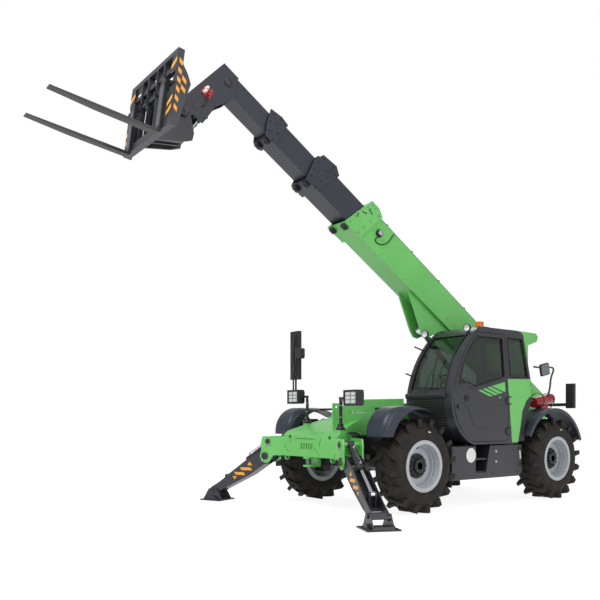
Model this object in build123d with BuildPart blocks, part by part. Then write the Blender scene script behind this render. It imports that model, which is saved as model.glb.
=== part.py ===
from build123d import *
import math
import os

os.makedirs("parts", exist_ok=True)

# Telehandler with four equal wheels, a four-section boom and two front stabilisers.
# Millimetres, +X forward, +Y left (the cab side), +Z up.
# The origin is on the ground, midway between the axles.

# ---- driving dimensions -----------------------------------------------------
wheelbase = 2970
track = 2040
tyre_radius = 620
tyre_width = 400
kingpin_inset = 80          # kingpin axis inboard of the wheel's centre plane
fit_gap = 0.4               # between sliding or seated faces of different bodies
pin_gap = 0.6               # between a pin and its bore, on the radius
plate = 25                  # heavy frame plate
cab_wall = 45

front_axle_x = wheelbase / 2
rear_axle_x = -wheelbase / 2
axle_z = tyre_radius
wheel_y = track / 2
kingpin_y = wheel_y - kingpin_inset

# boom: its centre line passes through boom_root at boom_angle
boom_angle = 31.67
boom_root = (-1581, 2081)
boom_pivot_x, boom_pivot_z = -1950, 2350
pivot_pin_radius = 55
tower_inner_y = 215         # inner faces of the two tower plates


def side(y):
    """Sketch plane facing the machine's side: local x is +X, local y is +Z."""
    return Plane.XZ.offset(-y)


def along(origin_x, origin_z, angle, y=0):
    """Side plane turned up by angle, with its origin at a point of the side view."""
    turn = math.radians(angle)
    return Plane(origin=(origin_x, y, origin_z), x_dir=(math.cos(turn), 0, math.sin(turn)), z_dir=(0, -1, 0))


def boom_plane(y=0):
    return along(*boom_root, boom_angle, y)


def to_boom(x, z):
    """Boom coordinates (distance along, distance above the centre line) of a side-view point."""
    turn = math.radians(boom_angle)
    dx, dz = x - boom_root[0], z - boom_root[1]
    return dx * math.cos(turn) + dz * math.sin(turn), dz * math.cos(turn) - dx * math.sin(turn)


def from_boom(u, v):
    turn = math.radians(boom_angle)
    x = boom_root[0] + u * math.cos(turn) - v * math.sin(turn)
    z = boom_root[1] + u * math.sin(turn) + v * math.cos(turn)
    return x, z


pieces = {}


def save(builder, name):
    pieces[name] = builder.part


def mirrored(builder):
    """The same piece on the machine's right side."""
    with BuildPart() as other:
        add(mirror(builder.part, about=Plane.XZ, mode=Mode.PRIVATE))
    return other


pivot_u, pivot_v = to_boom(boom_pivot_x, boom_pivot_z)

# ---- chassis frame ----------------------------------------------------------
rail_inner_y = 262
rail_width = 80
frame_front_x = 2060
frame_rear_x = -2620
rail_top_z = 1010
rail_dip_z = 850             # the rails dip under the cab and the pod
rail_low_z = 520
axle_arch_z = 742
lift_foot_x, lift_foot_z = -1750, 850
lift_pin_radius = 38

with BuildPart() as chassis_frame:
    for y in (rail_inner_y, -rail_inner_y - rail_width):
        with BuildSketch(side(y)):
            with BuildLine():
                Polyline(
                    (frame_rear_x, 760), (frame_rear_x, rail_top_z), (-1150, rail_top_z), (-1070, rail_dip_z),
                    (900, rail_dip_z), (980, rail_top_z), (frame_front_x, rail_top_z),
                    (frame_front_x, axle_arch_z), (front_axle_x - 330, axle_arch_z),
                    (front_axle_x - 480, rail_low_z), (rear_axle_x + 480, rail_low_z),
                    (rear_axle_x + 330, axle_arch_z), (rear_axle_x - 330, axle_arch_z), (frame_rear_x, 760),
                )
            make_face()
        extrude(amount=-rail_width)
    # cross members: x centre, z centre, x size, z size
    cross_members = (
        (frame_front_x - 60, 876, 120, 268),
        (760, 600, 160, 140),
        (-760, 600, 160, 140),
        (frame_rear_x + 40, 885, 80, 250),
    )
    for x, z, x_size, z_size in cross_members:
        with Locations((x, 0, z)):
            Box(x_size, 2 * rail_inner_y, z_size)
    # belly plate between the axles
    with Locations((0, 0, rail_low_z + 10)):
        Box(1900, 2 * rail_inner_y, 20)
    # clevis of the lift cylinder's foot
    for y in (-110, 85):
        with BuildSketch(side(y)):
            with BuildLine():
                Polyline(
                    (lift_foot_x, lift_foot_z + 90), (lift_foot_x, lift_foot_z - 90), (frame_rear_x + 70, 770),
                    (frame_rear_x + 70, 990), (lift_foot_x - 200, 990), (lift_foot_x, lift_foot_z + 90),
                )
            make_face()
            with Locations((lift_foot_x, lift_foot_z)):
                Circle(90)
        extrude(amount=-plate)
    with BuildSketch(side(-110)):
        with Locations((lift_foot_x, lift_foot_z)):
            Circle(lift_pin_radius)
    extrude(amount=-220)
save(chassis_frame, "chassis_frame")

# ---- rear tower that carries the boom ---------------------------------------
with BuildPart() as boom_tower:
    for y in (tower_inner_y, -tower_inner_y - plate):
        with BuildSketch(side(y)):
            with BuildLine():
                Polyline(
                    (-1500, rail_top_z), (frame_rear_x, rail_top_z), (-2700, 1180), (-2700, 1600),
                    (-2240, 1880), (-2170, 2050), (-2170, 2480), (-2420, 2560), (-2455, 2640), (-2400, 2700),
                    (-1640, 2715), (-1560, 2640), (-1660, 2300), (-1500, 1500), (-1500, rail_top_z),
                )
            make_face()
            with Locations((boom_pivot_x, boom_pivot_z)):
                Circle(pivot_pin_radius + pin_gap, mode=Mode.SUBTRACT)
        extrude(amount=-plate)
        # outer stiffening boss round the pivot
    for y in (tower_inner_y + plate, -tower_inner_y - plate - 20):
        with BuildSketch(side(y)):
            with Locations((boom_pivot_x, boom_pivot_z)):
                Circle(110)
                Circle(pivot_pin_radius + pin_gap, mode=Mode.SUBTRACT)
        extrude(amount=-20)
    # foot flanges down to the rails
    for y in (tower_inner_y + plate, -tower_inner_y - plate - 78):
        with Locations((-2060, y + 39, rail_top_z + 10)):
            Box(1120, 78, 20)
    # rear cross plate between the two plates
    with Locations((-2640, 0, 1390)):
        Box(plate, 2 * tower_inner_y, 400)
    with BuildSketch(side(-tower_inner_y)):
        with BuildLine():
            Polyline(
                (-2395, 2598), (-2380, 2672), (-2330, 2672), (-2345, 2598), close=True,
            )
        make_face()
    extrude(amount=-2 * tower_inner_y)
save(boom_tower, "boom_tower")

# ---- axles and knuckles -----------------------------------------------------
axle_tube_radius = 92
yoke_gap = 150              # half the height between the yoke's arms

for name, x in (("front_axle", front_axle_x), ("rear_axle", rear_axle_x)):
    with BuildPart() as axle:
        with Locations((x, 0, axle_z)):
            Cylinder(axle_tube_radius, 2 * (kingpin_y - 190), rotation=(90, 0, 0))
            Cylinder(150, 300, rotation=(0, 90, 0))
            Cylinder(120, 420, rotation=(90, 0, 0))
        for sign in (1, -1):
            # C-shaped yoke round the knuckle
            with Locations((x, sign * (kingpin_y - 190), axle_z)):
                Box(150, 40, 2 * yoke_gap + 60)
            for up in (1, -1):
                with Locations((x, sign * (kingpin_y - 85), axle_z + up * (yoke_gap + 15))):
                    Box(90, 210, 30)
                with Locations((x, sign * kingpin_y, axle_z + up * (yoke_gap + 15))):
                    Cylinder(45, 30)
            # seat under the frame rail
            with Locations((x, sign * (rail_inner_y + rail_width / 2), axle_z + 85)):
                Box(260, rail_width, 2 * (axle_arch_z - axle_z - 85))
    save(axle, name)

knuckle_radius = 44
spindle_radius = 60
hub_back_y = wheel_y - 30

with BuildPart() as knuckle:
    with Locations((0, kingpin_y, axle_z)):
        Cylinder(knuckle_radius, 2 * (yoke_gap - fit_gap))
    with Locations((0, (kingpin_y + hub_back_y) / 2, axle_z)):
        Cylinder(95, hub_back_y - kingpin_y, rotation=(90, 0, 0))
    with Locations((0, hub_back_y + 35, axle_z)):
        Cylinder(spindle_radius, 70, rotation=(90, 0, 0))

# ---- wheels -----------------------------------------------------------------
rim_seat_radius = 300
rim_flange_radius = 338
rim_lip = 10                # flange thickness, outside the tyre's sidewall
rim_wall = 12
disc_front, disc_back = 54, 34      # faces of the wheel disc, outward from the centre plane
hub_radius, hub_face = 155, 80
hub_cap_radius, hub_cap_face = 88, 122
lip_y = tyre_width / 2 - rim_lip
bead_gap = 0.5
lug_count = 16
lug_height = 42
lug_reach = 112             # half length of a lug's outer end, across the turn
lug_top = math.sqrt(tyre_radius ** 2 - lug_reach ** 2)
lug_root = 505
lug_end_y = tyre_width / 2 - 4
carcass_radius = tyre_radius - lug_height
carcass_sides = 2 * lug_count       # the carcass is flat between the lugs
shoulder_width, shoulder_drop = 80, 78

with BuildPart() as rim:
    # half section: (distance out from the wheel's centre plane, radius)
    with BuildSketch(Plane.YZ):
        with BuildLine():
            Polyline(
                (-tyre_width / 2, rim_flange_radius), (-lip_y, rim_flange_radius), (-lip_y, rim_seat_radius),
                (lip_y, rim_seat_radius), (lip_y, rim_flange_radius), (tyre_width / 2, rim_flange_radius),
                (tyre_width / 2, rim_seat_radius - rim_wall), (150, rim_seat_radius - rim_wall),
                (150, rim_seat_radius - 26), (100, rim_seat_radius - 26), (100, rim_seat_radius - 42),
                (disc_front, rim_seat_radius - 42), (disc_front, hub_radius), (hub_face, hub_radius),
                (hub_face, hub_cap_radius), (hub_cap_face, hub_cap_radius), (hub_cap_face, 0), (disc_back + 10, 0),
                (disc_back + 10, spindle_radius + pin_gap), (-30 + fit_gap, spindle_radius + pin_gap),
                (-30 + fit_gap, 110), (disc_back, 110), (disc_back, rim_seat_radius - 2 * rim_wall),
                (-tyre_width / 2, rim_seat_radius - 2 * rim_wall), close=True,
            )
        make_face()
    revolve(axis=Axis.Y)


def tyre_polygon(radius, mode=Mode.ADD):
    """Many-sided outline round the wheel's axis, its flats at the given radius."""
    return RegularPolygon(radius, carcass_sides, major_radius=False, mode=mode)


with BuildPart() as tyre:
    with BuildSketch(side(-lip_y + bead_gap)):
        tyre_polygon(carcass_radius)
        tyre_polygon(rim_seat_radius + bead_gap, Mode.SUBTRACT)
    extrude(amount=-2 * (lip_y - bead_gap))
    for end in (0, -1):
        wall = tyre.faces().sort_by(Axis.Y)[end]
        chamfer(wall.outer_wire().edges(), shoulder_width, shoulder_drop, reference=wall)
    # chevron lugs, one row on each shoulder, half a pitch apart
    for row in (1, -1):
        for i in range(lug_count):
            turn = 360 / lug_count * (i + (0.5 if row < 0 else 0))
            base = Plane.XY.rotated((0, turn, 0))
            with BuildSketch(Plane(origin=base.z_dir * lug_root, x_dir=base.x_dir, z_dir=base.z_dir)):
                with BuildLine():
                    Polyline(
                        (-46, row * -18), (-4, row * -18), (lug_reach, row * lug_end_y), (48, row * lug_end_y),
                        close=True,
                    )
                make_face()
    extrude(amount=lug_top - lug_root)

corners = (
    ("front_left", front_axle_x, 1), ("front_right", front_axle_x, -1),
    ("rear_left", rear_axle_x, 1), ("rear_right", rear_axle_x, -1),
)
for corner, x, sign in corners:
    # piece, its name, where its own origin goes
    placed_pieces = (
        (tyre, "tyre", (x, sign * wheel_y, axle_z)),
        (rim, "rim", (x, sign * wheel_y, axle_z)),
        (knuckle, "knuckle", (x, 0, 0)),
    )
    for piece, name, place in placed_pieces:
        turned = piece if sign > 0 else mirrored(piece)
        with BuildPart() as placed:
            with Locations(place):
                add(turned.part)
        save(placed, f"{corner}_{name}")

# ---- front frame with the two stabiliser brackets ---------------------------
leg_splay = 23.4            # the legs swing in planes turned forward by this
leg_pin_x, leg_pin_y, leg_pin_z = 2442, 882, 700
leg_pin_radius = 40
leg_half_width = 105
leg_plate = 12
ram_pin_o, ram_pin_h = -50, 210     # stabiliser ram's upper pin, outward and up from the leg pin
ram_pin_radius = 28
foot_reach, foot_pin_z = 936, 150
leg_angle = -math.degrees(math.atan2(leg_pin_z - foot_pin_z, foot_reach))
leg_length = math.hypot(leg_pin_z - foot_pin_z, foot_reach)

splay = math.radians(leg_splay)
outward = Vector(math.sin(splay), math.cos(splay), 0)
swing_axis = Vector(math.cos(splay), -math.sin(splay), 0)
leg_pin = Vector(leg_pin_x, leg_pin_y, leg_pin_z)


def swing_plane(shift=0, angle=0, o=0, h=0):
    """Plane of the left leg's swing: local x outward (turned by angle), local y up, at (o, h) from the pin."""
    turn = math.radians(angle)
    x_dir = outward * math.cos(turn) + Vector(0, 0, math.sin(turn))
    origin = leg_pin + outward * o + Vector(0, 0, h) + swing_axis * shift
    return Plane(origin=origin, x_dir=x_dir, z_dir=swing_axis)


bracket_plate = 22
bracket_inner = leg_half_width + 8
front_low_z = 720
front_face_x = 2475
front_brow_x, front_brow_z = 2413, 1005
front_half_width = 585
cover_rear_x, cover_rear_z = 1700, 1262
cover_half_width = 330
cover_left_y = 350
groove_depth = 10

face_rise = math.hypot(front_face_x - front_brow_x, front_brow_z - front_low_z)
face_plane = Plane(
    origin=(front_face_x, 0, front_low_z), x_dir=(0, 1, 0),
    z_dir=(front_brow_z - front_low_z, 0, front_face_x - front_brow_x),
)
# grooves in the front face: centre across, centre up the face, width, height, turn
face_grooves = [(-90, 0.84 * face_rise, 420, 10, 0), (-400, 0.77 * face_rise, 12, 110, 0),
                (250, 0.7 * face_rise, 12, 110, 0), (-460, 0.33 * face_rise, 160, 9, -38),
                (210, 0.27 * face_rise, 200, 9, -38)]
face_grooves += [(-128 + 52 * i, 0.49 * face_rise, 26, 74, 0) for i in range(5)]

with BuildPart() as front_frame:
    # box across the front, its cover rising towards the cab and narrowing as it goes
    with BuildSketch(side(-front_half_width)):
        with BuildLine():
            Polyline(
                (frame_front_x, front_low_z), (front_face_x, front_low_z), (front_brow_x, front_brow_z),
                (front_brow_x - 73, front_brow_z + 57), (frame_front_x, 1165), (cover_rear_x, cover_rear_z),
                (cover_rear_x, rail_top_z), (frame_front_x, rail_top_z), close=True,
            )
        make_face()
    extrude(amount=-2 * front_half_width)
    with BuildSketch(Plane.XY.offset(front_low_z - 10)):
        with BuildLine():
            Polyline(
                (front_face_x + 10, -front_half_width), (front_brow_x - 83, -front_half_width),
                (cover_rear_x, -cover_half_width), (cover_rear_x, cover_half_width),
                (front_brow_x - 83, front_half_width), (front_face_x + 10, front_half_width), close=True,
            )
        make_face()
    extrude(amount=cover_rear_z - front_low_z + 20, mode=Mode.INTERSECT)
    with BuildSketch(face_plane):
        for across, up, width, height, turn in face_grooves:
            with Locations(Location((across, up, 0), (0, 0, turn))):
                Rectangle(width, height)
    extrude(amount=-groove_depth, mode=Mode.SUBTRACT)
    # narrow slot on top behind the brow
    with Locations((front_brow_x - 30, 70, front_brow_z + 20)):
        Box(16, 130, 24, mode=Mode.SUBTRACT)
    # towing clevis under the box: two plates and their pin
    for z in (front_low_z - 15, front_low_z - 125):
        with BuildSketch(Plane.XY.offset(z - 10)):
            with Locations((front_face_x - 120, 0)):
                Rectangle(160, 130)
            with Locations((front_face_x - 40, 0)):
                Circle(65)
                Circle(20, mode=Mode.SUBTRACT)
        extrude(amount=25)
    with Locations((front_face_x - 180, 0, front_low_z - 68)):
        Box(60, 130, 140)
    # tie-down eyes at the lower corners
    for y in (-front_half_width + 90, front_half_width - 90):
        with BuildSketch(side(y - 9)):
            with Locations((front_face_x - 60, front_low_z - 24)):
                Circle(42)
                Circle(20, mode=Mode.SUBTRACT)
            with Locations((front_face_x - 60, front_low_z + 16)):
                Rectangle(84, 40)
        extrude(amount=-18)
    # cab-side plate, with a lifting eye at its front and a slot
    with BuildSketch(side(cover_left_y)):
        with BuildLine():
            Polyline(
                (2290, 1030), (2290, 1440), (2180, 1440), (2120, 1400), (1700, 1500),
                (960, 1520), (960, 1330), (1120, 1180), (1200, rail_top_z), (2290, rail_top_z),
                close=True,
            )
        make_face()
        with Locations((2225, 1385)):
            Circle(24, mode=Mode.SUBTRACT)
        with Locations((1830, 1330)):
            Rectangle(330, 62, mode=Mode.SUBTRACT)
    extrude(amount=20)
    # low plate on the far side that carries the right mudguard
    with BuildSketch(side(20 - cover_left_y)):
        with BuildLine():
            Polyline((1800, rail_top_z), (1800, 1230), (1560, 1400), (1380, 1400), (1200, rail_top_z), close=True)
        make_face()
    extrude(amount=20)
    # seats of the two lamp posts: x, y, low, high
    for x, y, low, high in ((2330, 545, 1000, 1090), (2100, -440, 1080, 1170)):
        with Locations((x, y, (low + high) / 2)):
            Box(80, 80, high - low)
    # splayed bracket plates of the left leg, then of the right
    for shift in (bracket_inner, -bracket_inner - bracket_plate):
        with BuildSketch(swing_plane(shift)):
            with BuildLine():
                Polyline(
                    (-520, 20), (-130, 10), (-75, -75), (-20, -105), (55, -85), (88, -10), (62, 90),
                    (72, 190), (45, 280), (-520, 290), close=True,
                )
            make_face()
        left_plate = extrude(amount=bracket_plate)
        mirror(left_plate, about=Plane.XZ)
    # leg pin and ram pin, both through the two plates
    for o, h, radius in ((0, 0, leg_pin_radius), (ram_pin_o, ram_pin_h, ram_pin_radius)):
        with BuildSketch(swing_plane(-bracket_inner - bracket_plate - 12, 0, o, h)):
            Circle(radius)
        left_pin = extrude(amount=2 * (bracket_inner + bracket_plate + 12))
        mirror(left_pin, about=Plane.XZ)
save(front_frame, "front_frame")

# ---- stabiliser legs, rams and feet -----------------------------------------
ram_lug_l, ram_lug_n = 800, 84      # the ram's lower eye, along and above the leg's line
ram_eye_half = 24
ram_ear_gap = 8
foot_cheek = 14
foot_cheek_inner = leg_half_width + 8
foot_radial, foot_across = 365, 400
foot_height = 178
foot_top = 70               # half length of a cheek's top edge


def foot_edge(z):
    """Distance of the cheek's sloping edge from the foot's middle at height z."""
    return foot_radial / 2 - (foot_radial / 2 - foot_top) * z / foot_height


with BuildPart() as leg:
    for shift in (leg_half_width - leg_plate, -leg_half_width):
        with BuildSketch(swing_plane(shift, leg_angle)):
            with BuildLine():
                Polyline(
                    (-60, -82), (400, -106), (930, -64), (1000, 55), (900, 62), (560, 96), (300, 116), (20, 100),
                    (-82, 40), close=True,
                )
            make_face()
            with Locations((leg_length, 0)):
                Circle(62)
            with BuildLine():
                Polyline(
                    (920, -62), (leg_length, -62), (leg_length, 62), (920, 60), close=True,
                )
            make_face()
            with Locations((0, 0)):
                Circle(leg_pin_radius + pin_gap, mode=Mode.SUBTRACT)
            with Locations((leg_length, 0)):
                Circle(26 + pin_gap, mode=Mode.SUBTRACT)
        extrude(amount=leg_plate)
    # floor of the channel
    with BuildSketch(swing_plane(-leg_half_width + leg_plate, leg_angle)):
        with BuildLine():
            Polyline((90, -89), (400, -106), (930, -64), (930, -50), (400, -92), (90, -75), close=True)
        make_face()
    extrude(amount=2 * (leg_half_width - leg_plate))
    # bushes round both pins
    for l, outer, inner in ((0, 64, leg_pin_radius), (leg_length, 44, 26)):
        with BuildSketch(swing_plane(-leg_half_width + leg_plate, leg_angle)):
            with Locations((l, 0)):
                Circle(outer)
                Circle(inner + pin_gap, mode=Mode.SUBTRACT)
        extrude(amount=2 * (leg_half_width - leg_plate))
    # ears that the ram's rod eye stands between
    for shift in (ram_eye_half + ram_ear_gap, -ram_eye_half - ram_ear_gap - 14):
        with BuildSketch(swing_plane(shift, leg_angle)):
            with BuildLine():
                Polyline(
                    (ram_lug_l - 80, -70), (ram_lug_l - 34, ram_lug_n), (ram_lug_l + 34, ram_lug_n),
                    (ram_lug_l + 80, -62), close=True,
                )
            make_face()
            with Locations((ram_lug_l, ram_lug_n)):
                Circle(34)
        extrude(amount=14)

turn = math.radians(leg_angle)
lug_o = ram_lug_l * math.cos(turn) - ram_lug_n * math.sin(turn)
lug_h = ram_lug_l * math.sin(turn) + ram_lug_n * math.cos(turn)
ram_angle = math.degrees(math.atan2(lug_h - ram_pin_h, lug_o - ram_pin_o))
ram_length = math.hypot(lug_h - ram_pin_h, lug_o - ram_pin_o)
ram_barrel_length = 510
ram_bottom = 110            # inner end of the barrel's bore
ram_draw_in = 305           # how far the rod goes in when the leg is stowed
ram_rod_start = ram_bottom + ram_draw_in + 10
ram_barrel_radius = 48
ram_rod_radius = 25

with BuildPart() as leg_barrel:
    with BuildSketch(swing_plane(-42, ram_angle, ram_pin_o, ram_pin_h)):
        Circle(50)
        Circle(ram_pin_radius + pin_gap, mode=Mode.SUBTRACT)
    extrude(amount=84)
    axis_plane = swing_plane(0, ram_angle, ram_pin_o, ram_pin_h)
    with BuildSketch(axis_plane):
        # half section along the ram's axis: (along, radius)
        with BuildLine():
            Polyline(
                (44, 0), (44, 30), (80, 30), (80, ram_barrel_radius), (ram_barrel_length - 50, ram_barrel_radius),
                (ram_barrel_length - 50, ram_barrel_radius + 6), (ram_barrel_length, ram_barrel_radius + 6),
                (ram_barrel_length, ram_rod_radius + fit_gap), (ram_bottom, ram_rod_radius + fit_gap), (ram_bottom, 0), close=True,
            )
        make_face()
    revolve(axis=Axis(axis_plane.origin, axis_plane.x_dir))

with BuildPart() as leg_rod:
    with BuildSketch(swing_plane(-ram_eye_half, ram_angle, ram_pin_o, ram_pin_h)):
        with Locations((ram_length, 0)):
            Circle(34)
    extrude(amount=2 * ram_eye_half)
    rod_plane = Plane(
        origin=axis_plane.origin + axis_plane.x_dir * ram_rod_start, x_dir=axis_plane.z_dir, z_dir=axis_plane.x_dir,
    )
    with BuildSketch(rod_plane):
        Circle(ram_rod_radius)
    extrude(amount=ram_length - ram_rod_start)

with BuildPart() as foot:
    foot_plane = swing_plane(0, 0, foot_reach, -leg_pin_z)
    base_plane = Plane(origin=foot_plane.origin, x_dir=outward, z_dir=(0, 0, 1))
    with BuildSketch(base_plane):
        Rectangle(foot_radial, foot_across)
    extrude(amount=18)
    # cheeks, wide at the base
    for shift in (foot_cheek_inner, -foot_cheek_inner - foot_cheek):
        with BuildSketch(swing_plane(shift, 0, foot_reach, -leg_pin_z)):
            with BuildLine():
                Polyline(
                    (-foot_radial / 2, 0), (foot_radial / 2, 0), (foot_top, foot_height),
                    (-foot_top, foot_height), close=True,
                )
            make_face()
        extrude(amount=foot_cheek)
    # two bars across the sloping outer edge leave a pocket between them
    for low, high in ((18, 46), (128, 160)):
        with BuildSketch(swing_plane(-foot_cheek_inner, 0, foot_reach, -leg_pin_z)):
            with BuildLine():
                Polyline((foot_edge(low) - 16, low), (foot_edge(low), low), (foot_edge(high), high),
                         (foot_edge(high) - 16, high), close=True)
            make_face()
        extrude(amount=2 * foot_cheek_inner)
    with BuildSketch(swing_plane(-foot_cheek_inner - foot_cheek - 6, 0, foot_reach, foot_pin_z - leg_pin_z)):
        Circle(26)
    extrude(amount=2 * (foot_cheek_inner + foot_cheek + 6))

for piece, name in ((leg, "leg"), (leg_barrel, "leg_barrel"), (leg_rod, "leg_rod"), (foot, "foot")):
    save(piece, f"{name}_left")
    save(mirrored(piece), f"{name}_right")

# ---- cab --------------------------------------------------------------------
cab_inner_y, cab_outer_y = 270, 1100
cab_floor_z, cab_roof_z = 870, 2540
waist_z = 1560
roof_inset = 85             # the outer side leans in by this at the roof
glass_thickness = 6
door_gap = 7


def cab_outline():
    """Side outline of the cab: curved front, rear wheel arch cut away, rounded rear of the roof."""
    ThreePointArc((815, waist_z), (706, 1125), (350, cab_floor_z))
    Polyline((350, cab_floor_z), (-650, cab_floor_z))
    ThreePointArc((-650, cab_floor_z), (-705, 1210), (-850, 1480))
    Polyline((-850, 1480), (-1000, 1545), (-1000, 1840), (-905, 2430))
    ThreePointArc((-905, 2430), (-880, 2508), (-800, cab_roof_z))
    Polyline((-800, cab_roof_z), (150, cab_roof_z), (240, 2485))
    ThreePointArc((240, 2485), (615, 2080), (815, waist_z))


def cab_block(inset):
    """The cab's closed form, inset evenly from its outer faces."""
    with BuildPart() as block:
        with BuildSketch(side(cab_inner_y + inset)):
            with BuildLine():
                cab_outline()
            make_face()
            if inset:
                offset(amount=-inset, kind=Kind.INTERSECTION)
        extrude(amount=-(cab_outer_y - cab_inner_y - 2 * inset))
        with BuildSketch(Plane.YZ.offset(-1200)):
            with BuildLine():
                Polyline((cab_outer_y - inset, waist_z), (cab_outer_y + 60, waist_z), (cab_outer_y + 60, 2600),
                         (cab_outer_y - roof_inset - inset, 2600), close=True)
            make_face()
        extrude(amount=2400, mode=Mode.SUBTRACT)
    return block


def door_outline():
    ThreePointArc((775, waist_z), (668, 1148), (340, cab_floor_z + 35))
    Polyline((340, cab_floor_z + 35), (-350, cab_floor_z + 35))
    ThreePointArc((-350, cab_floor_z + 35), (-407, cab_floor_z + 59), (-430, cab_floor_z + 115))
    Polyline((-430, cab_floor_z + 115), (-430, 2475), (180, 2475))
    ThreePointArc((180, 2475), (560, 2070), (775, waist_z))


def door_window_outline():
    Polyline((640, 1735), (430, 1745), (310, 1690), (-370, 1845), (-370, 2410), (185, 2410))
    ThreePointArc((185, 2410), (470, 2090), (640, 1735))


with BuildPart() as windows:
    # windscreen, rear window, right window, rear quarter window, roof window
    with Locations((560, 656, 2035)):
        Box(900, 630, 790)
    with Locations((-960, 682, 2160)):
        Box(300, 690, 480)
    with BuildSketch(side(cab_inner_y - 20)):
        with BuildLine():
            Polyline((-880, 1700), (600, 1700), (560, 1950), (230, 2400), (-830, 2420), close=True)
        make_face()
    extrude(amount=-80)
    with BuildSketch(side(cab_outer_y - roof_inset - cab_wall - 30)):
        with BuildLine():
            Polyline((-935, 1850), (-505, 1850), (-505, 2430), (-850, 2430), close=True)
        make_face()
    extrude(amount=-200)
    with Locations((-330, 660, 2540)):
        Box(700, 560, 160)

cab_outer = cab_block(0)
cab_cavity = cab_block(cab_wall)
glass_outer = cab_block(14)
glass_inner = cab_block(14 + glass_thickness)

hinge_x, hinge_y = -420, 1112
hinge_radius, hinge_length = 9, 80
hinge_heights = (1050, 1500)

with BuildPart() as cab_shell:
    add(cab_outer.part)
    add(cab_cavity.part, mode=Mode.SUBTRACT)
    add(windows.part, mode=Mode.SUBTRACT)
    with BuildSketch(side(cab_outer_y - roof_inset - cab_wall - 30)):
        with BuildLine():
            door_outline()
        make_face()
    extrude(amount=-260, mode=Mode.SUBTRACT)
    # hinge leaves above and below the door's knuckles
    for z in hinge_heights:
        for side_up in (1, -1):
            leaf_z = z + side_up * (hinge_length / 2 + fit_gap + 10)
            with Locations((hinge_x, hinge_y, leaf_z)):
                Cylinder(hinge_radius, 20)
            with Locations((hinge_x - 32, cab_outer_y + 6, leaf_z)):
                Box(54, 22, 20)
    # mounts down to the side box and the rail
    for x, y in ((-560, 300), (300, 300), (-560, 900), (300, 900)):
        with Locations((x, y, cab_floor_z - 10)):
            Cylinder(30, 20)
save(cab_shell, "cab_shell")

with BuildPart() as cab_glass:
    add(glass_outer.part)
    add(glass_inner.part, mode=Mode.SUBTRACT)
    add(windows.part, mode=Mode.INTERSECT)
save(cab_glass, "cab_glass")

with BuildPart() as door:
    add(cab_outer.part)
    add(cab_cavity.part, mode=Mode.SUBTRACT)
    with BuildSketch(side(cab_outer_y - roof_inset - cab_wall - 20)):
        with BuildLine():
            door_outline()
        make_face()
        offset(amount=-door_gap, kind=Kind.INTERSECTION)
    extrude(amount=-260, mode=Mode.INTERSECT)
    with BuildSketch(side(cab_outer_y - roof_inset - cab_wall - 30)):
        with BuildLine():
            door_window_outline()
        make_face()
    extrude(amount=-260, mode=Mode.SUBTRACT)
    # handle at the front edge, hinge knuckles at the rear edge
    with Locations((640, cab_outer_y + 8, 1400)):
        Box(110, 26, 60)
    for z in hinge_heights:
        with Locations((hinge_x + 24, cab_outer_y + 6, z)):
            Box(48, 16, hinge_length)
        with Locations((hinge_x, hinge_y, z)):
            Cylinder(hinge_radius, hinge_length)
save(door, "door")

with BuildPart() as door_glass:
    add(glass_outer.part)
    add(glass_inner.part, mode=Mode.SUBTRACT)
    with BuildSketch(side(cab_outer_y - roof_inset - cab_wall - 20)):
        with BuildLine():
            door_window_outline()
        make_face()
    extrude(amount=-260, mode=Mode.INTERSECT)
save(door_glass, "door_glass")

floor_top_z = cab_floor_z + cab_wall
seat_y = 660
with BuildPart() as cab_interior:
    with Locations((-330, seat_y, floor_top_z + 150)):
        Box(480, 400, 300)
    with Locations((360, seat_y, floor_top_z + 330)):
        Box(90, 160, 660)
    with BuildSketch(Plane(origin=(345, seat_y, floor_top_z + 640), x_dir=(0, 1, 0), z_dir=(-0.5, 0, 0.87))):
        Circle(28)
    extrude(amount=140)
    with BuildSketch(Plane(origin=(280, seat_y, floor_top_z + 753), x_dir=(0, 1, 0), z_dir=(-0.5, 0, 0.87))):
        Circle(190)
        Circle(165, mode=Mode.SUBTRACT)
        Rectangle(340, 26)
        Circle(45)
    extrude(amount=24)
    # feet follow the floor's curve
    add(cab_cavity.part, mode=Mode.INTERSECT)
save(cab_interior, "cab_interior")

with BuildPart() as seat:
    with Locations((-310, seat_y, floor_top_z + 300 + 60)):
        Box(500, 480, 120)
    with BuildSketch(side(seat_y - 230)):
        with BuildLine():
            Polyline((-560, floor_top_z + 420), (-430, floor_top_z + 420), (-500, floor_top_z + 1050),
                     (-610, floor_top_z + 1050), close=True)
        make_face()
    extrude(amount=-460)
save(seat, "seat")

# ---- mudguards --------------------------------------------------------------
guard_radius = 755
guard_thickness = 10
guard_skirt = 52
guard_inner_y, guard_outer_y = 800, 1190
guard_centre_z = axle_z + 20
guard_top_z = 1398
guard_nose_radius = 350
guard_nose_x = 2165
guard_edge_radius = 90
guard_tail_x, guard_tail_radius = 1150, 828
guard_crest_x = 1600
guard_open_z = 850


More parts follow.
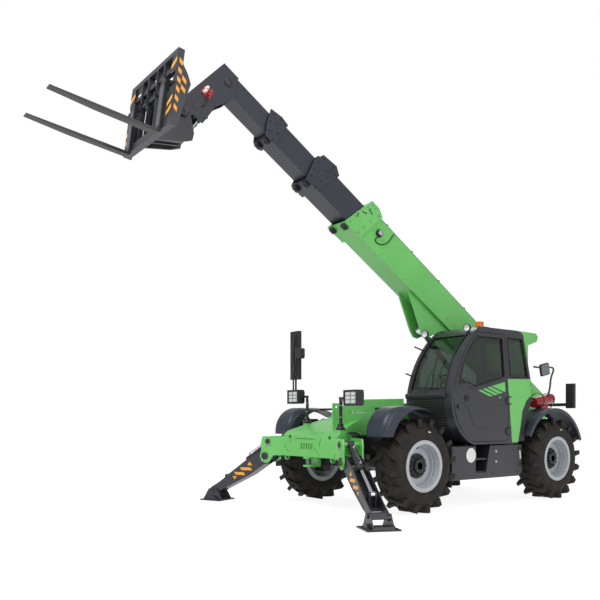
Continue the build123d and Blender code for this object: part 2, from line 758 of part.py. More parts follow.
def front_guard_block(inset):
    """Closed form of the left front guard, inset evenly; it runs down below the guard's open edge."""
    top_z, tail_x, nose_x = guard_top_z - inset, guard_tail_x + inset, guard_nose_x - inset
    tail_radius, nose_radius = guard_tail_radius - inset, guard_nose_radius - inset
    nose_centre_x = guard_nose_x - guard_nose_radius
    tail_angle = math.degrees(math.acos((guard_crest_x - tail_x) / tail_radius))
    with BuildPart() as block:
        with BuildSketch(side(guard_inner_y + inset)):
            with BuildLine():
                crest = CenterArc((guard_crest_x, top_z - tail_radius), tail_radius, 90, 90 - tail_angle)
                nose = CenterArc((nose_centre_x, top_z - nose_radius), nose_radius, 0, 90)
                Line(crest @ 0, nose @ 1)
                Polyline(nose @ 0, (nose_x, guard_open_z), (tail_x, guard_open_z), crest @ 1)
            make_face()
        extrude(amount=-(guard_outer_y - guard_inner_y - 2 * inset))
        rim_edges = [
            e for e in block.edges()
            if abs(e.tangent_at(0.5).Y) < 0.5 and e.center().Z > guard_open_z + 20 and e.center().X > tail_x + 5
        ]
        fillet(rim_edges, guard_edge_radius - inset)
    return block


with BuildPart() as mudguards:
    # front guards: a shell with a rounded nose, cut to an arch over the tyre
    add(front_guard_block(0).part)
    add(front_guard_block(guard_thickness).part, mode=Mode.SUBTRACT)
    with BuildSketch(side(guard_inner_y - 10)):
        with BuildLine():
            ThreePointArc((2020, 1005), (1860, 1240), (1577, 1354))
            ThreePointArc((1577, 1354), (1360, 1334), (guard_tail_x - 10, 1245))
            Polyline((guard_tail_x - 10, 1245), (guard_tail_x - 10, guard_open_z - 10), (guard_nose_x + 10, guard_open_z - 10),
                     (guard_nose_x + 10, 1005), (2020, 1005))
        make_face()
    extrude(amount=guard_inner_y - guard_outer_y - 20, mode=Mode.SUBTRACT)
    # rear guards follow the tyre, with a skirt along both edges
    for y, depth, width in (
        (guard_inner_y, guard_thickness, guard_outer_y - guard_inner_y),
        (guard_inner_y, guard_skirt, guard_thickness),
        (guard_outer_y - guard_thickness, guard_skirt, guard_thickness),
    ):
        with BuildSketch(side(y)):
            with BuildLine():
                rear_arc = CenterArc((rear_axle_x, guard_centre_z), guard_radius, 27, 133)
                under_arc = CenterArc((rear_axle_x, guard_centre_z), guard_radius - depth, 27, 133)
                Line(rear_arc @ 0, under_arc @ 0)
                Line(rear_arc @ 1, under_arc @ 1)
            make_face()
        extrude(amount=-width)
    # stays: axle, inboard end, top
    for x, stay_y, stay_top_z in (
        (front_axle_x, cover_left_y, guard_top_z - guard_thickness),
        (rear_axle_x, tower_inner_y + plate, guard_centre_z + guard_radius - guard_thickness),
    ):
        with Locations((x, (stay_y + guard_inner_y + 60) / 2, stay_top_z - 14)):
            Box(90, guard_inner_y + 60 - stay_y, 30)
    mirror(about=Plane.XZ)
save(mudguards, "mudguards")

# ---- side boxes under the cab, with a step between them ---------------------
box_outer_y = 1080
rail_outer_y = rail_inner_y + rail_width
with BuildPart() as side_boxes:
    with BuildSketch(side(rail_outer_y)):
        with BuildLine():
            Polyline((790, 385), (790, 850), (283, 850), (283, 470), (60, 470), (-30, 850), (-782, 850),
                     (-782, 440), (-700, 385), close=True)
        make_face()
    extrude(amount=-(box_outer_y - rail_outer_y))
save(side_boxes, "side_boxes")

# ---- battery pod on the right, with a lid -----------------------------------
pod_inner_y, pod_outer_y = -rail_outer_y, -1080
pod_low_z, pod_top_z = 430, 1330
pod_front_x, pod_rear_x = 785, -785
pod_wall = 14
lid_gap = 6
lid_hinge_y, lid_hinge_z = pod_inner_y + 2, pod_top_z + 20
lid_hinge_x = 500
lid_knuckle = 80
with BuildPart() as battery_pod:
    with BuildSketch(Plane.XY.offset(pod_low_z)):
        with Locations(((pod_front_x + pod_rear_x) / 2, (pod_inner_y + pod_outer_y) / 2)):
            Rectangle(pod_front_x - pod_rear_x, pod_inner_y - pod_outer_y)
    extrude(amount=pod_top_z - pod_low_z)
    with BuildSketch(Plane.XY.offset(pod_low_z + pod_wall)):
        with Locations(((pod_front_x + pod_rear_x) / 2, (pod_inner_y + pod_outer_y) / 2)):
            Rectangle(pod_front_x - pod_rear_x - 2 * pod_wall, pod_inner_y - pod_outer_y - 2 * pod_wall)
    extrude(amount=pod_top_z - pod_low_z, mode=Mode.SUBTRACT)
    # air slots in the outer side
    for i in range(7):
        with Locations((-200, pod_outer_y, 760 + 52 * i)):
            Box(620, 3 * pod_wall, 22, mode=Mode.SUBTRACT)
    # buffers the lid rests on, and the fixed hinge knuckles outside the lid's
    for sign in (1, -1):
        with Locations((sign * 600, pod_outer_y + pod_wall / 2, pod_top_z + (lid_gap - fit_gap) / 2)):
            Box(60, pod_wall - 4, lid_gap - fit_gap)
        knuckle_x = sign * (lid_hinge_x + lid_knuckle / 2 + fit_gap + 20)
        with Locations((knuckle_x, lid_hinge_y, lid_hinge_z)):
            Cylinder(hinge_radius, 40, rotation=(0, 90, 0))
        with Locations((knuckle_x, pod_inner_y - 1.5, lid_hinge_z - 12)):
            Box(40, 12, 24)
save(battery_pod, "battery_pod")

with BuildPart() as battery_block:
    with Locations((0, (pod_inner_y + pod_outer_y) / 2, pod_low_z + pod_wall + 300)):
        Box(1300, 560, 600)
save(battery_block, "battery_block")

with BuildPart() as pod_lid:
    with BuildSketch(Plane.YZ.offset(pod_rear_x)):
        with BuildLine():
            Polyline((pod_inner_y - 8, pod_top_z + lid_gap), (pod_inner_y - 8, 1470), (-760, 1500), (-1000, 1450),
                     (pod_outer_y, pod_top_z + lid_gap), (pod_outer_y + pod_wall, pod_top_z + lid_gap), (-990, 1436),
                     (-757, 1486), (pod_inner_y - 22, 1457), (pod_inner_y - 22, pod_top_z + lid_gap), close=True)
        make_face()
    extrude(amount=pod_front_x - pod_rear_x)
    for x in (pod_front_x - pod_wall, pod_rear_x):
        with BuildSketch(Plane.YZ.offset(x)):
            with BuildLine():
                Polyline((pod_inner_y - 8, pod_top_z + lid_gap), (pod_inner_y - 8, 1470), (-760, 1500),
                         (-1000, 1450), (pod_outer_y, pod_top_z + lid_gap), close=True)
            make_face()
        extrude(amount=pod_wall)
    for sign in (1, -1):
        with Locations((sign * lid_hinge_x, lid_hinge_y, lid_hinge_z)):
            Cylinder(hinge_radius, lid_knuckle, rotation=(0, 90, 0))
        with Locations((sign * lid_hinge_x, pod_inner_y - 5, lid_hinge_z)):
            Box(lid_knuckle, 14, 14)
save(pod_lid, "pod_lid")

# ---- boom -------------------------------------------------------------------
# each section: rear end, front end, height, width, wall
base_rear_u = -560
section_rows = {
    "boom_base": (base_rear_u, 3960, 480, 330, 10),
    "boom_section_2": (60, 4770, 390, 290, 8),
    "boom_section_3": (690, 5540, 315, 250, 8),
    "boom_section_4": (1320, 6215, 250, 220, 8),
}
# collar outlines: lower rear, lower front, upper front, lug front, lug rear, upper rear
collar_rows = {
    "boom_base": ((3640, -262), (3975, -262), (3760, 262), (3730, 330), (3560, 330), (3450, 262)),
    "boom_section_2": ((4545, -222), (4775, -222), (4800, 120), (4720, 268), (4470, 300), (4365, 222)),
    "boom_section_3": ((5395, -186), (5540, -186), (5610, -40), (5660, 170), (5480, 205), (5354, 186)),
}
pad_gap = fit_gap
lift_slot_front_u, lift_slot_width = 400, 250
lift_eye_pin_radius = 28    # thin enough for the closed ram's barrel to stop short of it


names = list(section_rows)
sections = {}
for name, inner_name in zip(names, names[1:] + [None]):
    rear, front, height, width, wall = section_rows[name]
    with BuildPart() as section:
        # rectangular tube, hollow from end to end
        with BuildSketch(boom_plane(-width / 2)):
            with Locations(((rear + front) / 2, 0)):
                Rectangle(front - rear, height)
        extrude(amount=-width)
        with BuildSketch(boom_plane(-width / 2 + wall)):
            with Locations(((rear + front) / 2, 0)):
                Rectangle(front - rear + 20, height - 2 * wall)
        extrude(amount=-(width - 2 * wall), mode=Mode.SUBTRACT)
        if inner_name:
            inner_height, inner_width = section_rows[inner_name][2:4]
            outline = collar_rows[name]
            # collar plates on both sides, and thick bands above and below
            for y in (width / 2, -width / 2 - 22):
                with BuildSketch(boom_plane(y)):
                    with BuildLine():
                        Polyline(*outline, close=True)
                    make_face()
                extrude(amount=-22)
            (low_rear, low_v), (low_front, _), (top_front, top_v), _, _, (top_rear, _) = outline
            with BuildSketch(boom_plane(-width / 2)):
                with Locations(((low_rear + low_front) / 2, (low_v - height / 2) / 2)):
                    Rectangle(low_front - low_rear, -low_v - height / 2)
                with Locations(((top_rear + min(top_front, front)) / 2, height / 2 + 11)):
                    Rectangle(min(top_front, front) - top_rear, 22)
            extrude(amount=-width)
            # wear pads: under, over and beside the next section
            pad_u = front - 160
            for v_low, v_high in (
                (-height / 2 + wall, -inner_height / 2 - pad_gap), (inner_height / 2 + pad_gap, height / 2 - wall),
            ):
                for y in (-inner_width / 2 + 15, inner_width / 2 - 55):
                    with BuildSketch(boom_plane(y)):
                        with Locations((pad_u, (v_low + v_high) / 2)):
                            Rectangle(120, v_high - v_low)
                    extrude(amount=-40)
            side_gap = width / 2 - wall - inner_width / 2 - pad_gap
            for y in (-width / 2 + wall, width / 2 - wall - side_gap):
                with BuildSketch(boom_plane(y)):
                    with Locations((pad_u, 0)):
                        Rectangle(120, 90)
                extrude(amount=-side_gap)
        if name == "boom_base":
            # the base section's collar leans back: trim the tube to it
            with BuildSketch(boom_plane(-300)):
                with BuildLine():
                    Polyline(outline[1], (4100, -262), (4100, 400), (3700, 400), outline[2], close=True)
                make_face()
            extrude(amount=-600, mode=Mode.SUBTRACT)
            # slot in the floor that the raised boom's lift ram passes through
            with BuildSketch(boom_plane(-lift_slot_width / 2)):
                with Locations(((base_rear_u + lift_slot_front_u) / 2, -height / 2 + wall / 2)):
                    Rectangle(lift_slot_front_u - base_rear_u + 2, wall + 2)
            extrude(amount=-lift_slot_width, mode=Mode.SUBTRACT)
            # cheeks that rise to the pivot
            for y in (width / 2, -width / 2 - 22):
                with BuildSketch(boom_plane(y)):
                    with BuildLine():
                        Polyline((base_rear_u, -200), (base_rear_u, 240), (pivot_u - 130, pivot_v + 20),
                                 (pivot_u - 60, pivot_v + 110), (pivot_u + 60, pivot_v + 110),
                                 (pivot_u + 160, pivot_v - 20), (700, 240), (500, -200), close=True)
                    make_face()
                extrude(amount=-22)
            with BuildSketch(boom_plane(-tower_inner_y - plate - 30)):
                with Locations((pivot_u, pivot_v)):
                    Circle(pivot_pin_radius)
            extrude(amount=-2 * (tower_inner_y + plate + 30))
            with BuildSketch(boom_plane(-tower_inner_y + 5)):
                with Locations((pivot_u, pivot_v)):
                    Circle(88)
            extrude(amount=-2 * (tower_inner_y - 5))
            # bracket of the lift ram, two plates under the section
            for y in (92, -92 - plate):
                with BuildSketch(boom_plane(y)):
                    with BuildLine():
                        Polyline((1350, -240), (1640, -500), (1720, -600), (1800, -625), (1900, -590), (2300, -330),
                                 (2430, -240), close=True)
                    make_face()
                extrude(amount=-plate)
            for y in (62, -92):
                with BuildSketch(boom_plane(y)):
                    with Locations((1800, -500)):
                        Circle(lift_eye_pin_radius)
                extrude(amount=-30)
    sections[name] = section

# ---- boom head, welded to the innermost section ------------------------------
head_half_width = 130
tilt_pivot_u, tilt_pivot_v = 6560, -800
tilt_pin_radius = 34
ram_top_u, ram_top_v = 6290, -60
ram_eye_u, ram_eye_v = 6370, -980
arm_plate = 20
with BuildPart() as boom_section_4:
    add(sections["boom_section_4"].part)
    with BuildSketch(boom_plane(-head_half_width)):
        with BuildLine():
            Polyline((6210, 136), (6453, 136), (6640, -640), (6660, -800), (6600, -890), (6490, -880),
                     (6440, -720), (6290, -710), (6262, -400), (6140, -165), (6168, -40), close=True)
        make_face()
    extrude(amount=-2 * head_half_width)
    # hollow between the arm's side plates, open below and to the rear
    with BuildSketch(boom_plane(-head_half_width + arm_plate)):
        with BuildLine():
            Polyline((6215, 100), (6420, 100), (6560, -500), (6580, -1000), (6100, -1000), (6100, -190),
                     (6215, -150), close=True)
        make_face()
    extrude(amount=-2 * (head_half_width - arm_plate), mode=Mode.SUBTRACT)
    for y in (-head_half_width - 52, head_half_width):
        with BuildSketch(boom_plane(y)):
            with Locations((tilt_pivot_u, tilt_pivot_v)):
                Circle(tilt_pin_radius)
        extrude(amount=-52)
    for y, u, v, radius in ((-head_half_width, tilt_pivot_u, tilt_pivot_v, tilt_pin_radius),
                            (-head_half_width, ram_top_u, ram_top_v, 22)):
        with BuildSketch(boom_plane(y)):
            with Locations((u, v)):
                Circle(radius)
        extrude(amount=-2 * head_half_width)
save(boom_section_4, "boom_section_4")
for name in names[:3]:
    save(sections[name], name)

# ---- lift ram between the chassis and the base section -----------------------
lift_eye_x, lift_eye_z = from_boom(1800, -500)
lift_angle = math.degrees(math.atan2(lift_eye_z - lift_foot_z, lift_eye_x - lift_foot_x))
lift_length = math.hypot(lift_eye_z - lift_foot_z, lift_eye_x - lift_foot_x)


def ram(origin_x, origin_z, angle, length, eye, barrel, rod, eye_half, pin_radius, closed, draw_in):
    """Barrel and rod of a ram in the machine's middle plane; closed is the barrel's length."""
    line = along(origin_x, origin_z, angle)
    neck, bottom = eye + 30, eye + 8
    rod_start = bottom + draw_in + fit_gap
    with BuildPart() as barrel_part:
        with BuildSketch(along(origin_x, origin_z, angle, -eye_half)):
            Circle(eye)
            Circle(pin_radius + pin_gap, mode=Mode.SUBTRACT)
        extrude(amount=-2 * eye_half)
        with BuildSketch(line):
            with BuildLine():
                Polyline((eye - 6, 0), (eye - 6, barrel * 0.76), (neck, barrel * 0.76), (neck, barrel),
                         (closed - 60, barrel), (closed - 60, barrel + 8), (closed, barrel + 8),
                         (closed, rod + fit_gap), (bottom, rod + fit_gap), (bottom, 0), close=True)
            make_face()
        revolve(axis=Axis(line.origin, line.x_dir))
    with BuildPart() as rod_part:
        with BuildSketch(along(origin_x, origin_z, angle, -eye_half)):
            with Locations((length, 0)):
                Circle(eye)
        extrude(amount=-2 * eye_half)
        with BuildSketch(Plane(origin=line.origin + line.x_dir * rod_start, x_dir=(0, 1, 0), z_dir=line.x_dir)):
            Circle(rod)
        extrude(amount=length - rod_start)
    return barrel_part, rod_part


lift_barrel, lift_rod = ram(
    lift_foot_x, lift_foot_z, lift_angle, lift_length,
    eye=70, barrel=80, rod=48, eye_half=50, pin_radius=lift_pin_radius, closed=1695, draw_in=783,
)
save(lift_barrel, "lift_barrel")
save(lift_rod, "lift_rod")

# ---- tilt ram between the boom head and the carriage -------------------------
tilt_top_x, tilt_top_z = from_boom(ram_top_u, ram_top_v)
tilt_low_x, tilt_low_z = from_boom(ram_eye_u, ram_eye_v)
tilt_angle = math.degrees(math.atan2(tilt_low_z - tilt_top_z, tilt_low_x - tilt_top_x))
tilt_length = math.hypot(tilt_low_z - tilt_top_z, tilt_low_x - tilt_top_x)
tilt_barrel, tilt_rod = ram(
    tilt_top_x, tilt_top_z, tilt_angle, tilt_length,
    eye=42, barrel=44, rod=24, eye_half=34, pin_radius=22, closed=590, draw_in=274,
)
save(tilt_barrel, "tilt_barrel")
save(tilt_rod, "tilt_rod")

# ---- carriage and forks ------------------------------------------------------
carriage_tilt = 8.07
heel_x, heel_z = 4885, 4416
carriage_width = 1211
carriage_height = 906
shaft_radius = 24
shaft_back, shaft_height = 70, 560      # behind the fork face and above the heel
fork_length = 1216
fork_width = 100
fork_thickness = 42
fork_y = 400


def carriage_plane(y=0):
    """Local x runs out along the forks, local y up the carriage; the origin is at the forks' heel."""
    return along(heel_x, heel_z, carriage_tilt, y)


def boom_to_carriage(u, v):
    x, z = from_boom(u, v)
    turn = math.radians(carriage_tilt)
    dx, dz = x - heel_x, z - heel_z
    return dx * math.cos(turn) + dz * math.sin(turn), dz * math.cos(turn) - dx * math.sin(turn)


pivot_c = boom_to_carriage(tilt_pivot_u, tilt_pivot_v)
eye_c = boom_to_carriage(ram_eye_u, ram_eye_v)

with BuildPart() as carriage:
    half = carriage_width / 2
    # cross rails: rear face, low edge, depth, height
    for back, low, depth, height in (
        (-118, carriage_height - 60, 80, 60), (-118, carriage_height - 216, 60, 46),
        (-118, 30, 118 - fork_thickness + 6 - fit_gap, 90),
    ):
        with BuildSketch(carriage_plane(-half)):
            with Locations((back + depth / 2, low + height / 2)):
                Rectangle(depth, height)
        extrude(amount=-carriage_width)
    # top face plate and uprights
    uprights = (-half, -300, -125, 105, 280, half - 20)
    for y in uprights:
        with BuildSketch(carriage_plane(y)):
            with BuildLine():
                Polyline((-118, 30), (-60, 30), (-60, 500), (-38, carriage_height - 216), (-38, carriage_height), (-118, carriage_height),
                         close=True)
            make_face()
            with Locations((-shaft_back - 8, shaft_height)):
                Circle(52)
        extrude(amount=-20)
    for y in (-half, half - 20):
        with BuildSketch(carriage_plane(y)):
            with BuildLine():
                Polyline((-118, 30), (-118, carriage_height - 160), (-190, carriage_height - 250), (-240, 560),
                         (-190, 330), (-140, 30), close=True)
            make_face()
        extrude(amount=-20)
    # shaft that the forks hang on
    with BuildSketch(carriage_plane(-half)):
        with Locations((-shaft_back - 8, shaft_height)):
            Circle(shaft_radius)
    extrude(amount=-carriage_width)
    # pivot plates outside the head's arm
    for y in (head_half_width + 8, -head_half_width - 8 - plate):
        with BuildSketch(carriage_plane(y)):
            with BuildLine():
                Polyline((-118, 30), (-118, 760), (-200, 740), (pivot_c[0] - 40, pivot_c[1] + 90),
                         (pivot_c[0] - 95, pivot_c[1]), (eye_c[0] - 70, eye_c[1] + 30), (eye_c[0] - 60, eye_c[1] - 60),
                         (eye_c[0] + 60, eye_c[1] - 120), (-118, 30), close=False)
            make_face()
            with Locations(pivot_c):
                Circle(78)
                Circle(tilt_pin_radius + pin_gap, mode=Mode.SUBTRACT)
        extrude(amount=-plate)
    # ears that the tilt ram's rod eye stands between
    for y in (34 + 8, -34 - 8 - 30):
        with BuildSketch(carriage_plane(y)):
            with Locations(eye_c):
                Circle(48)
            with BuildLine():
                Polyline((eye_c[0] - 40, eye_c[1] - 30), (eye_c[0] + 30, eye_c[1] - 90), (-100, 60), (-100, 120),
                         (eye_c[0] + 40, eye_c[1] + 20), close=True)
            make_face()
        extrude(amount=-30)
save(carriage, "carriage")

for sign, name in ((1, "fork_left"), (-1, "fork_right")):
    with BuildPart() as fork:
        with BuildSketch(carriage_plane(sign * fork_y - fork_width / 2)):
            with BuildLine():
                Polyline((-fork_thickness + 6, shaft_height), (-fork_thickness + 6, 30), (-24, -18), (0, -30),
                         (700, -30), (fork_length, -12), (fork_length, 0), (20, 8), (6, 40), (6, shaft_height),
                         close=True)
            make_face()
            with Locations((-shaft_back - 8, shaft_height)):
                Circle(shaft_radius + 20)
            with BuildLine():
                Polyline((-shaft_back - 8, shaft_height + 40), (6, shaft_height + 40), (6, shaft_height - 60),
                         (-30, shaft_height - 60), (-shaft_back - 8, shaft_height - 40), close=True)
            make_face()
            with Locations((-shaft_back - 8, shaft_height)):
                Circle(shaft_radius + pin_gap, mode=Mode.SUBTRACT)
        extrude(amount=-fork_width)
    save(fork, name)

# ---- lamps, mirrors, beacon, extinguisher, counterweight ---------------------
with BuildPart() as lamps:
    # work lamps on posts at the front: lamp centre, foot of the post
    for centre, post_foot in (((2360, 830, 1500), (2330, 545, 1090)), ((2150, -640, 1550), (2100, -440, 1170))):
        with Locations(centre):
            Box(110, 250, 200)
        top_z = centre[2]
        with Locations((post_foot[0], post_foot[1], (post_foot[2] + top_z) / 2)):
            Cylinder(18, top_z - post_foot[2])
        with Locations((post_foot[0], (post_foot[1] + centre[1]) / 2, top_z)):
            Box(60, abs(centre[1] - post_foot[1]), 30)
    # rear lamps on arms from the tower
    for sign in (1, -1):
        with Locations((-2200, sign * 1000, 1600)):
            Box(60, 140, 400)
        with Locations((-2200, sign * (960 + tower_inner_y + plate) / 2, 1460)):
            Box(50, 960 - tower_inner_y - plate, 50)
    with Locations((-640, 420, cab_roof_z + 50)):
        Cylinder(62, 100)
save(lamps, "lamps")

with BuildPart() as mirrors:
    with Locations((2150, -640, 1725)):
        Cylinder(14, 150)
    with Locations((2150, -640, 2150)):
        Box(60, 190, 700)
save(mirrors, "mirrors")

with BuildPart() as counterweight:
    with BuildSketch(Plane.XY.offset(640)):
        with BuildLine():
            Polyline((frame_rear_x, -600), (frame_rear_x - 60, -600), (frame_rear_x - 160, -420),
                     (frame_rear_x - 160, 420), (frame_rear_x - 60, 600), (frame_rear_x, 600), close=True)
        make_face()
    extrude(amount=360)
save(counterweight, "counterweight")

with BuildPart() as extinguisher:
    with BuildSketch(Plane(origin=(-1330, 900, 1480), x_dir=(0, 1, 0), z_dir=(-1, 0, 0.16))):
        Circle(78)
    extrude(amount=480)
    with Locations((-1560, 900, 1430)):
        Box(200, 90, 70)
save(extinguisher, "extinguisher")

# ---- export, with the origin on the ground below the middle of the whole length ----
spans = [piece.bounding_box() for piece in pieces.values()]
middle_x = (min(span.min.X for span in spans) + max(span.max.X for span in spans)) / 2
for name, piece in pieces.items():
    placed = piece.moved(Location((-middle_x, 0, 0)))
    placed.label = name
    export_step(placed, f"parts/{name}.step")
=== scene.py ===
import math
import random
import bmesh
import bpy
from mathutils import Matrix, Vector


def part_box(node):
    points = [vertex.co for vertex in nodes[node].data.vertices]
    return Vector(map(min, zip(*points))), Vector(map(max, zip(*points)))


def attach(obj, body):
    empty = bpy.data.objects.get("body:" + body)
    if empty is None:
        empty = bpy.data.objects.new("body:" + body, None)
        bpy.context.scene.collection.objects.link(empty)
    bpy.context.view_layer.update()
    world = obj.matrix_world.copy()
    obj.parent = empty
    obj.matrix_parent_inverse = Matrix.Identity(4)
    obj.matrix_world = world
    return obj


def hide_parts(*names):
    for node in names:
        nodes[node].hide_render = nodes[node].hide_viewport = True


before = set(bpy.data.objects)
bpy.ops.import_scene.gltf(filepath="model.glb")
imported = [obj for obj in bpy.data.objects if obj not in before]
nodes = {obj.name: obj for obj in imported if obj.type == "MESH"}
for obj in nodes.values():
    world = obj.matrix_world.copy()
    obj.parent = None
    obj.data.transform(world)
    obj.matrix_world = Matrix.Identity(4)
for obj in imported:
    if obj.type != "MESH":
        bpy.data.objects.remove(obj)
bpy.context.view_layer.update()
random.seed(7)
print("frame loaded")


# ---- camera ----

# places are counted from midway between the axles; the frame's origin is the middle of the whole length
middleX = 1.655321
cameraSet = {"place": (8.3041 - middleX, 7.3747, 1.25), "heading": 144.91, "lens": 41.67,
             "shift": (0.056, 0.1959), "sensor": 36, "far": 400}


def addCamera():
    data = bpy.data.cameras.new("studioCamera")
    data.lens = cameraSet["lens"]
    data.sensor_width = cameraSet["sensor"]
    data.shift_x, data.shift_y = cameraSet["shift"]
    data.clip_end = cameraSet["far"]
    camera = bpy.data.objects.new("studioCamera", data)
    camera.location = cameraSet["place"]
    camera.rotation_euler = (math.radians(90), 0, math.radians(cameraSet["heading"]))
    bpy.context.scene.collection.objects.link(camera)
    bpy.context.scene.camera = camera


addCamera()
bpy.context.scene.view_settings.view_transform = "Standard"


# ---- materials ----

def linear(code):
    # sRGB hex to the linear colour that Blender's sockets take
    parts = [int(code[i:i + 2], 16) / 255 for i in (1, 3, 5)]
    return tuple(p / 12.92 if p <= 0.04045 else ((p + 0.055) / 1.055) ** 2.4 for p in parts) + (1,)


def addNode(tree, kind, settings=None, links=None):
    # one node: settings are properties or input values, links are (input, output socket)
    node = tree.nodes.new(kind)
    for key, value in (settings or {}).items():
        if isinstance(key, int) or key in node.inputs:
            node.inputs[key].default_value = value
        else:
            setattr(node, key, value)
    for key, socket in (links or {}).items():
        tree.links.new(node.inputs[key], socket)
    return node


def startMaterial(name):
    material = bpy.data.materials.new(name)
    material.use_nodes = True
    tree = material.node_tree
    tree.nodes.clear()
    output = tree.nodes.new("ShaderNodeOutputMaterial")
    place = addNode(tree, "ShaderNodeTexCoord")
    return material, tree, output.inputs["Surface"], place.outputs["Object"]


def noise(tree, place, size, detail, rough=0.5):
    # clouds about size mm across
    settings = {"Scale": 1000 / size, "Detail": detail, "Roughness": rough}
    return addNode(tree, "ShaderNodeTexNoise", settings, {"Vector": place}).outputs["Fac"]


def spread(tree, value, low, high, start=0.0, end=1.0):
    # the value's start to end becomes low to high
    settings = {"From Min": start, "From Max": end, "To Min": low, "To Max": high}
    return addNode(tree, "ShaderNodeMapRange", settings, {"Value": value}).outputs[0]


def twoColours(tree, factor, first, second, low=0.0, high=1.0):
    ramp = addNode(tree, "ShaderNodeValToRGB", links={"Fac": factor})
    for element, colour, place in zip(ramp.color_ramp.elements, (first, second), (low, high)):
        element.color = linear(colour)
        element.position = place
    return ramp.outputs["Color"]


def bumpOf(tree, height, strength, distance):
    settings = {"Strength": strength, "Distance": distance}
    return addNode(tree, "ShaderNodeBump", settings, {"Height": height}).outputs[0]


def combine(tree, operation, first, second):
    # second is a socket or a number
    if isinstance(second, float):
        return addNode(tree, "ShaderNodeMath", {"operation": operation, 1: second}, {0: first}).outputs[0]
    return addNode(tree, "ShaderNodeMath", {"operation": operation}, {0: first, 1: second}).outputs[0]


def surface(tree, surfaceInput, settings, links):
    shader = addNode(tree, "ShaderNodeBsdfPrincipled", settings, links)
    tree.links.new(surfaceInput, shader.outputs[0])
    return shader.outputs[0]


def sprayedEnamel(name, colour, worn, dusty, gloss=0.34):
    # two-pack enamel sprayed on steel plate: soft gloss, faint orange peel, dust lying low down
    material, tree, output, place = startMaterial(name)
    # shade wanders over about 600 mm, as hand-sprayed panels do
    body = twoColours(tree, noise(tree, place, 600, 4.0), worn, colour, 0.25, 0.6)
    # dust gathers in 40 mm patches, more of it below hub height
    height = addNode(tree, "ShaderNodeSeparateXYZ", links={"Vector": place}).outputs["Z"]
    low = spread(tree, height, 0.05, 0.5, 1.1, 0.1)
    spots = spread(tree, noise(tree, place, 40, 6.0, 0.65), 0.0, 1.0, 0.5, 0.8)
    amount = combine(tree, "MULTIPLY", low, spots)
    tinted = addNode(tree, "ShaderNodeMix", {"data_type": "RGBA", "B": linear(dusty)},
                     {"Factor": amount, "A": body})
    # orange peel, ripples about 3 mm across
    peel = bumpOf(tree, noise(tree, place, 3, 1.0), 0.05, 0.0006)
    surface(tree, output, {"Coat Weight": 0.25, "Coat Roughness": 0.2},
            {"Base Color": tinted.outputs["Result"], "Normal": peel,
             "Roughness": spread(tree, amount, gloss, gloss + 0.3, 0.0, 0.5)})
    return material


def tyreRubber(name):
    # cross-ply tractor rubber: matt, brownish with dried earth between the lugs, fine mould grain
    material, tree, output, place = startMaterial(name)
    grain = noise(tree, place, 9, 5.0, 0.7)
    earth = noise(tree, place, 120, 6.0, 0.6)
    surface(tree, output, {"Specular IOR Level": 0.35},
            {"Base Color": twoColours(tree, earth, "#1B1816", "#2E2924", 0.35, 0.75),
             "Roughness": spread(tree, grain, 0.62, 0.9), "Normal": bumpOf(tree, grain, 0.35, 0.002)})
    return material


def groundMetal(name, colour):
    # ground or plated metal: near mirror, a whisper of turning marks
    material, tree, output, place = startMaterial(name)
    surface(tree, output, {"Base Color": linear(colour), "Metallic": 1.0},
            {"Roughness": spread(tree, noise(tree, place, 20, 3.0), 0.12, 0.26)})
    return material


def tintedGlass(name, colour, see):
    # toughened glass with a body tint and a thin film of dust
    material, tree, output, place = startMaterial(name)
    film = noise(tree, place, 150, 6.0)
    glass = surface(tree, output, {"Base Color": linear(colour), "Transmission Weight": see, "IOR": 1.45},
                    {"Roughness": spread(tree, film, 0.0, 0.02)})
    # light reaches the inside of the cab straight through the pane
    ray = addNode(tree, "ShaderNodeLightPath")
    pane = addNode(tree, "ShaderNodeBsdfTransparent", {"Color": linear(colour)})
    inside = combine(tree, "MAXIMUM", ray.outputs["Is Shadow Ray"], ray.outputs["Is Diffuse Ray"])
    blend = addNode(tree, "ShaderNodeMixShader", links={0: inside, 1: glass, 2: pane.outputs[0]})
    tree.links.new(output, blend.outputs[0])
    return material


def mouldedPlastic(name, colour, pale, rough=0.5):
    # moulded polymer with a 1.6 mm spark-eroded grain, greying where it catches the sun
    material, tree, output, place = startMaterial(name)
    grain = addNode(tree, "ShaderNodeTexVoronoi", {"Scale": 1000 / 1.6},
                    {"Vector": place}).outputs["Distance"]
    surface(tree, output, {"Roughness": rough},
            {"Base Color": twoColours(tree, noise(tree, place, 350, 3.0), colour, pale, 0.35, 0.8),
             "Normal": bumpOf(tree, grain, 0.12, 0.0005)})
    return material


def wovenSeatCloth(name):
    # tractor seat cloth: plain weave drawn at 6 mm so that it shows
    material, tree, output, place = startMaterial(name)
    threads = [addNode(tree, "ShaderNodeTexWave", {"Scale": 1000 / 6 / 6.283, "bands_direction": way},
                       {"Vector": place}).outputs["Fac"] for way in "YX"]
    cross = combine(tree, "MULTIPLY", *threads)
    surface(tree, output, {"Roughness": 0.9, "Sheen Weight": 0.3},
            {"Base Color": twoColours(tree, cross, "#1D1D20", "#3B3C41"),
             "Normal": bumpOf(tree, cross, 0.4, 0.001)})
    return material


# body colour, boom colour, cab and box colour, chassis colour
paintGreen = sprayedEnamel("apple green enamel", "#6CC264", "#62B65A", "#8C9C72")
paintSlate = sprayedEnamel("slate blue enamel", "#262A36", "#21242F", "#3E3F42", 0.42)
paintDark = sprayedEnamel("charcoal enamel", "#2A2B33", "#26262D", "#45413D", 0.45)
paintBlack = sprayedEnamel("chassis black enamel", "#1C1D22", "#17181B", "#3C3833", 0.5)
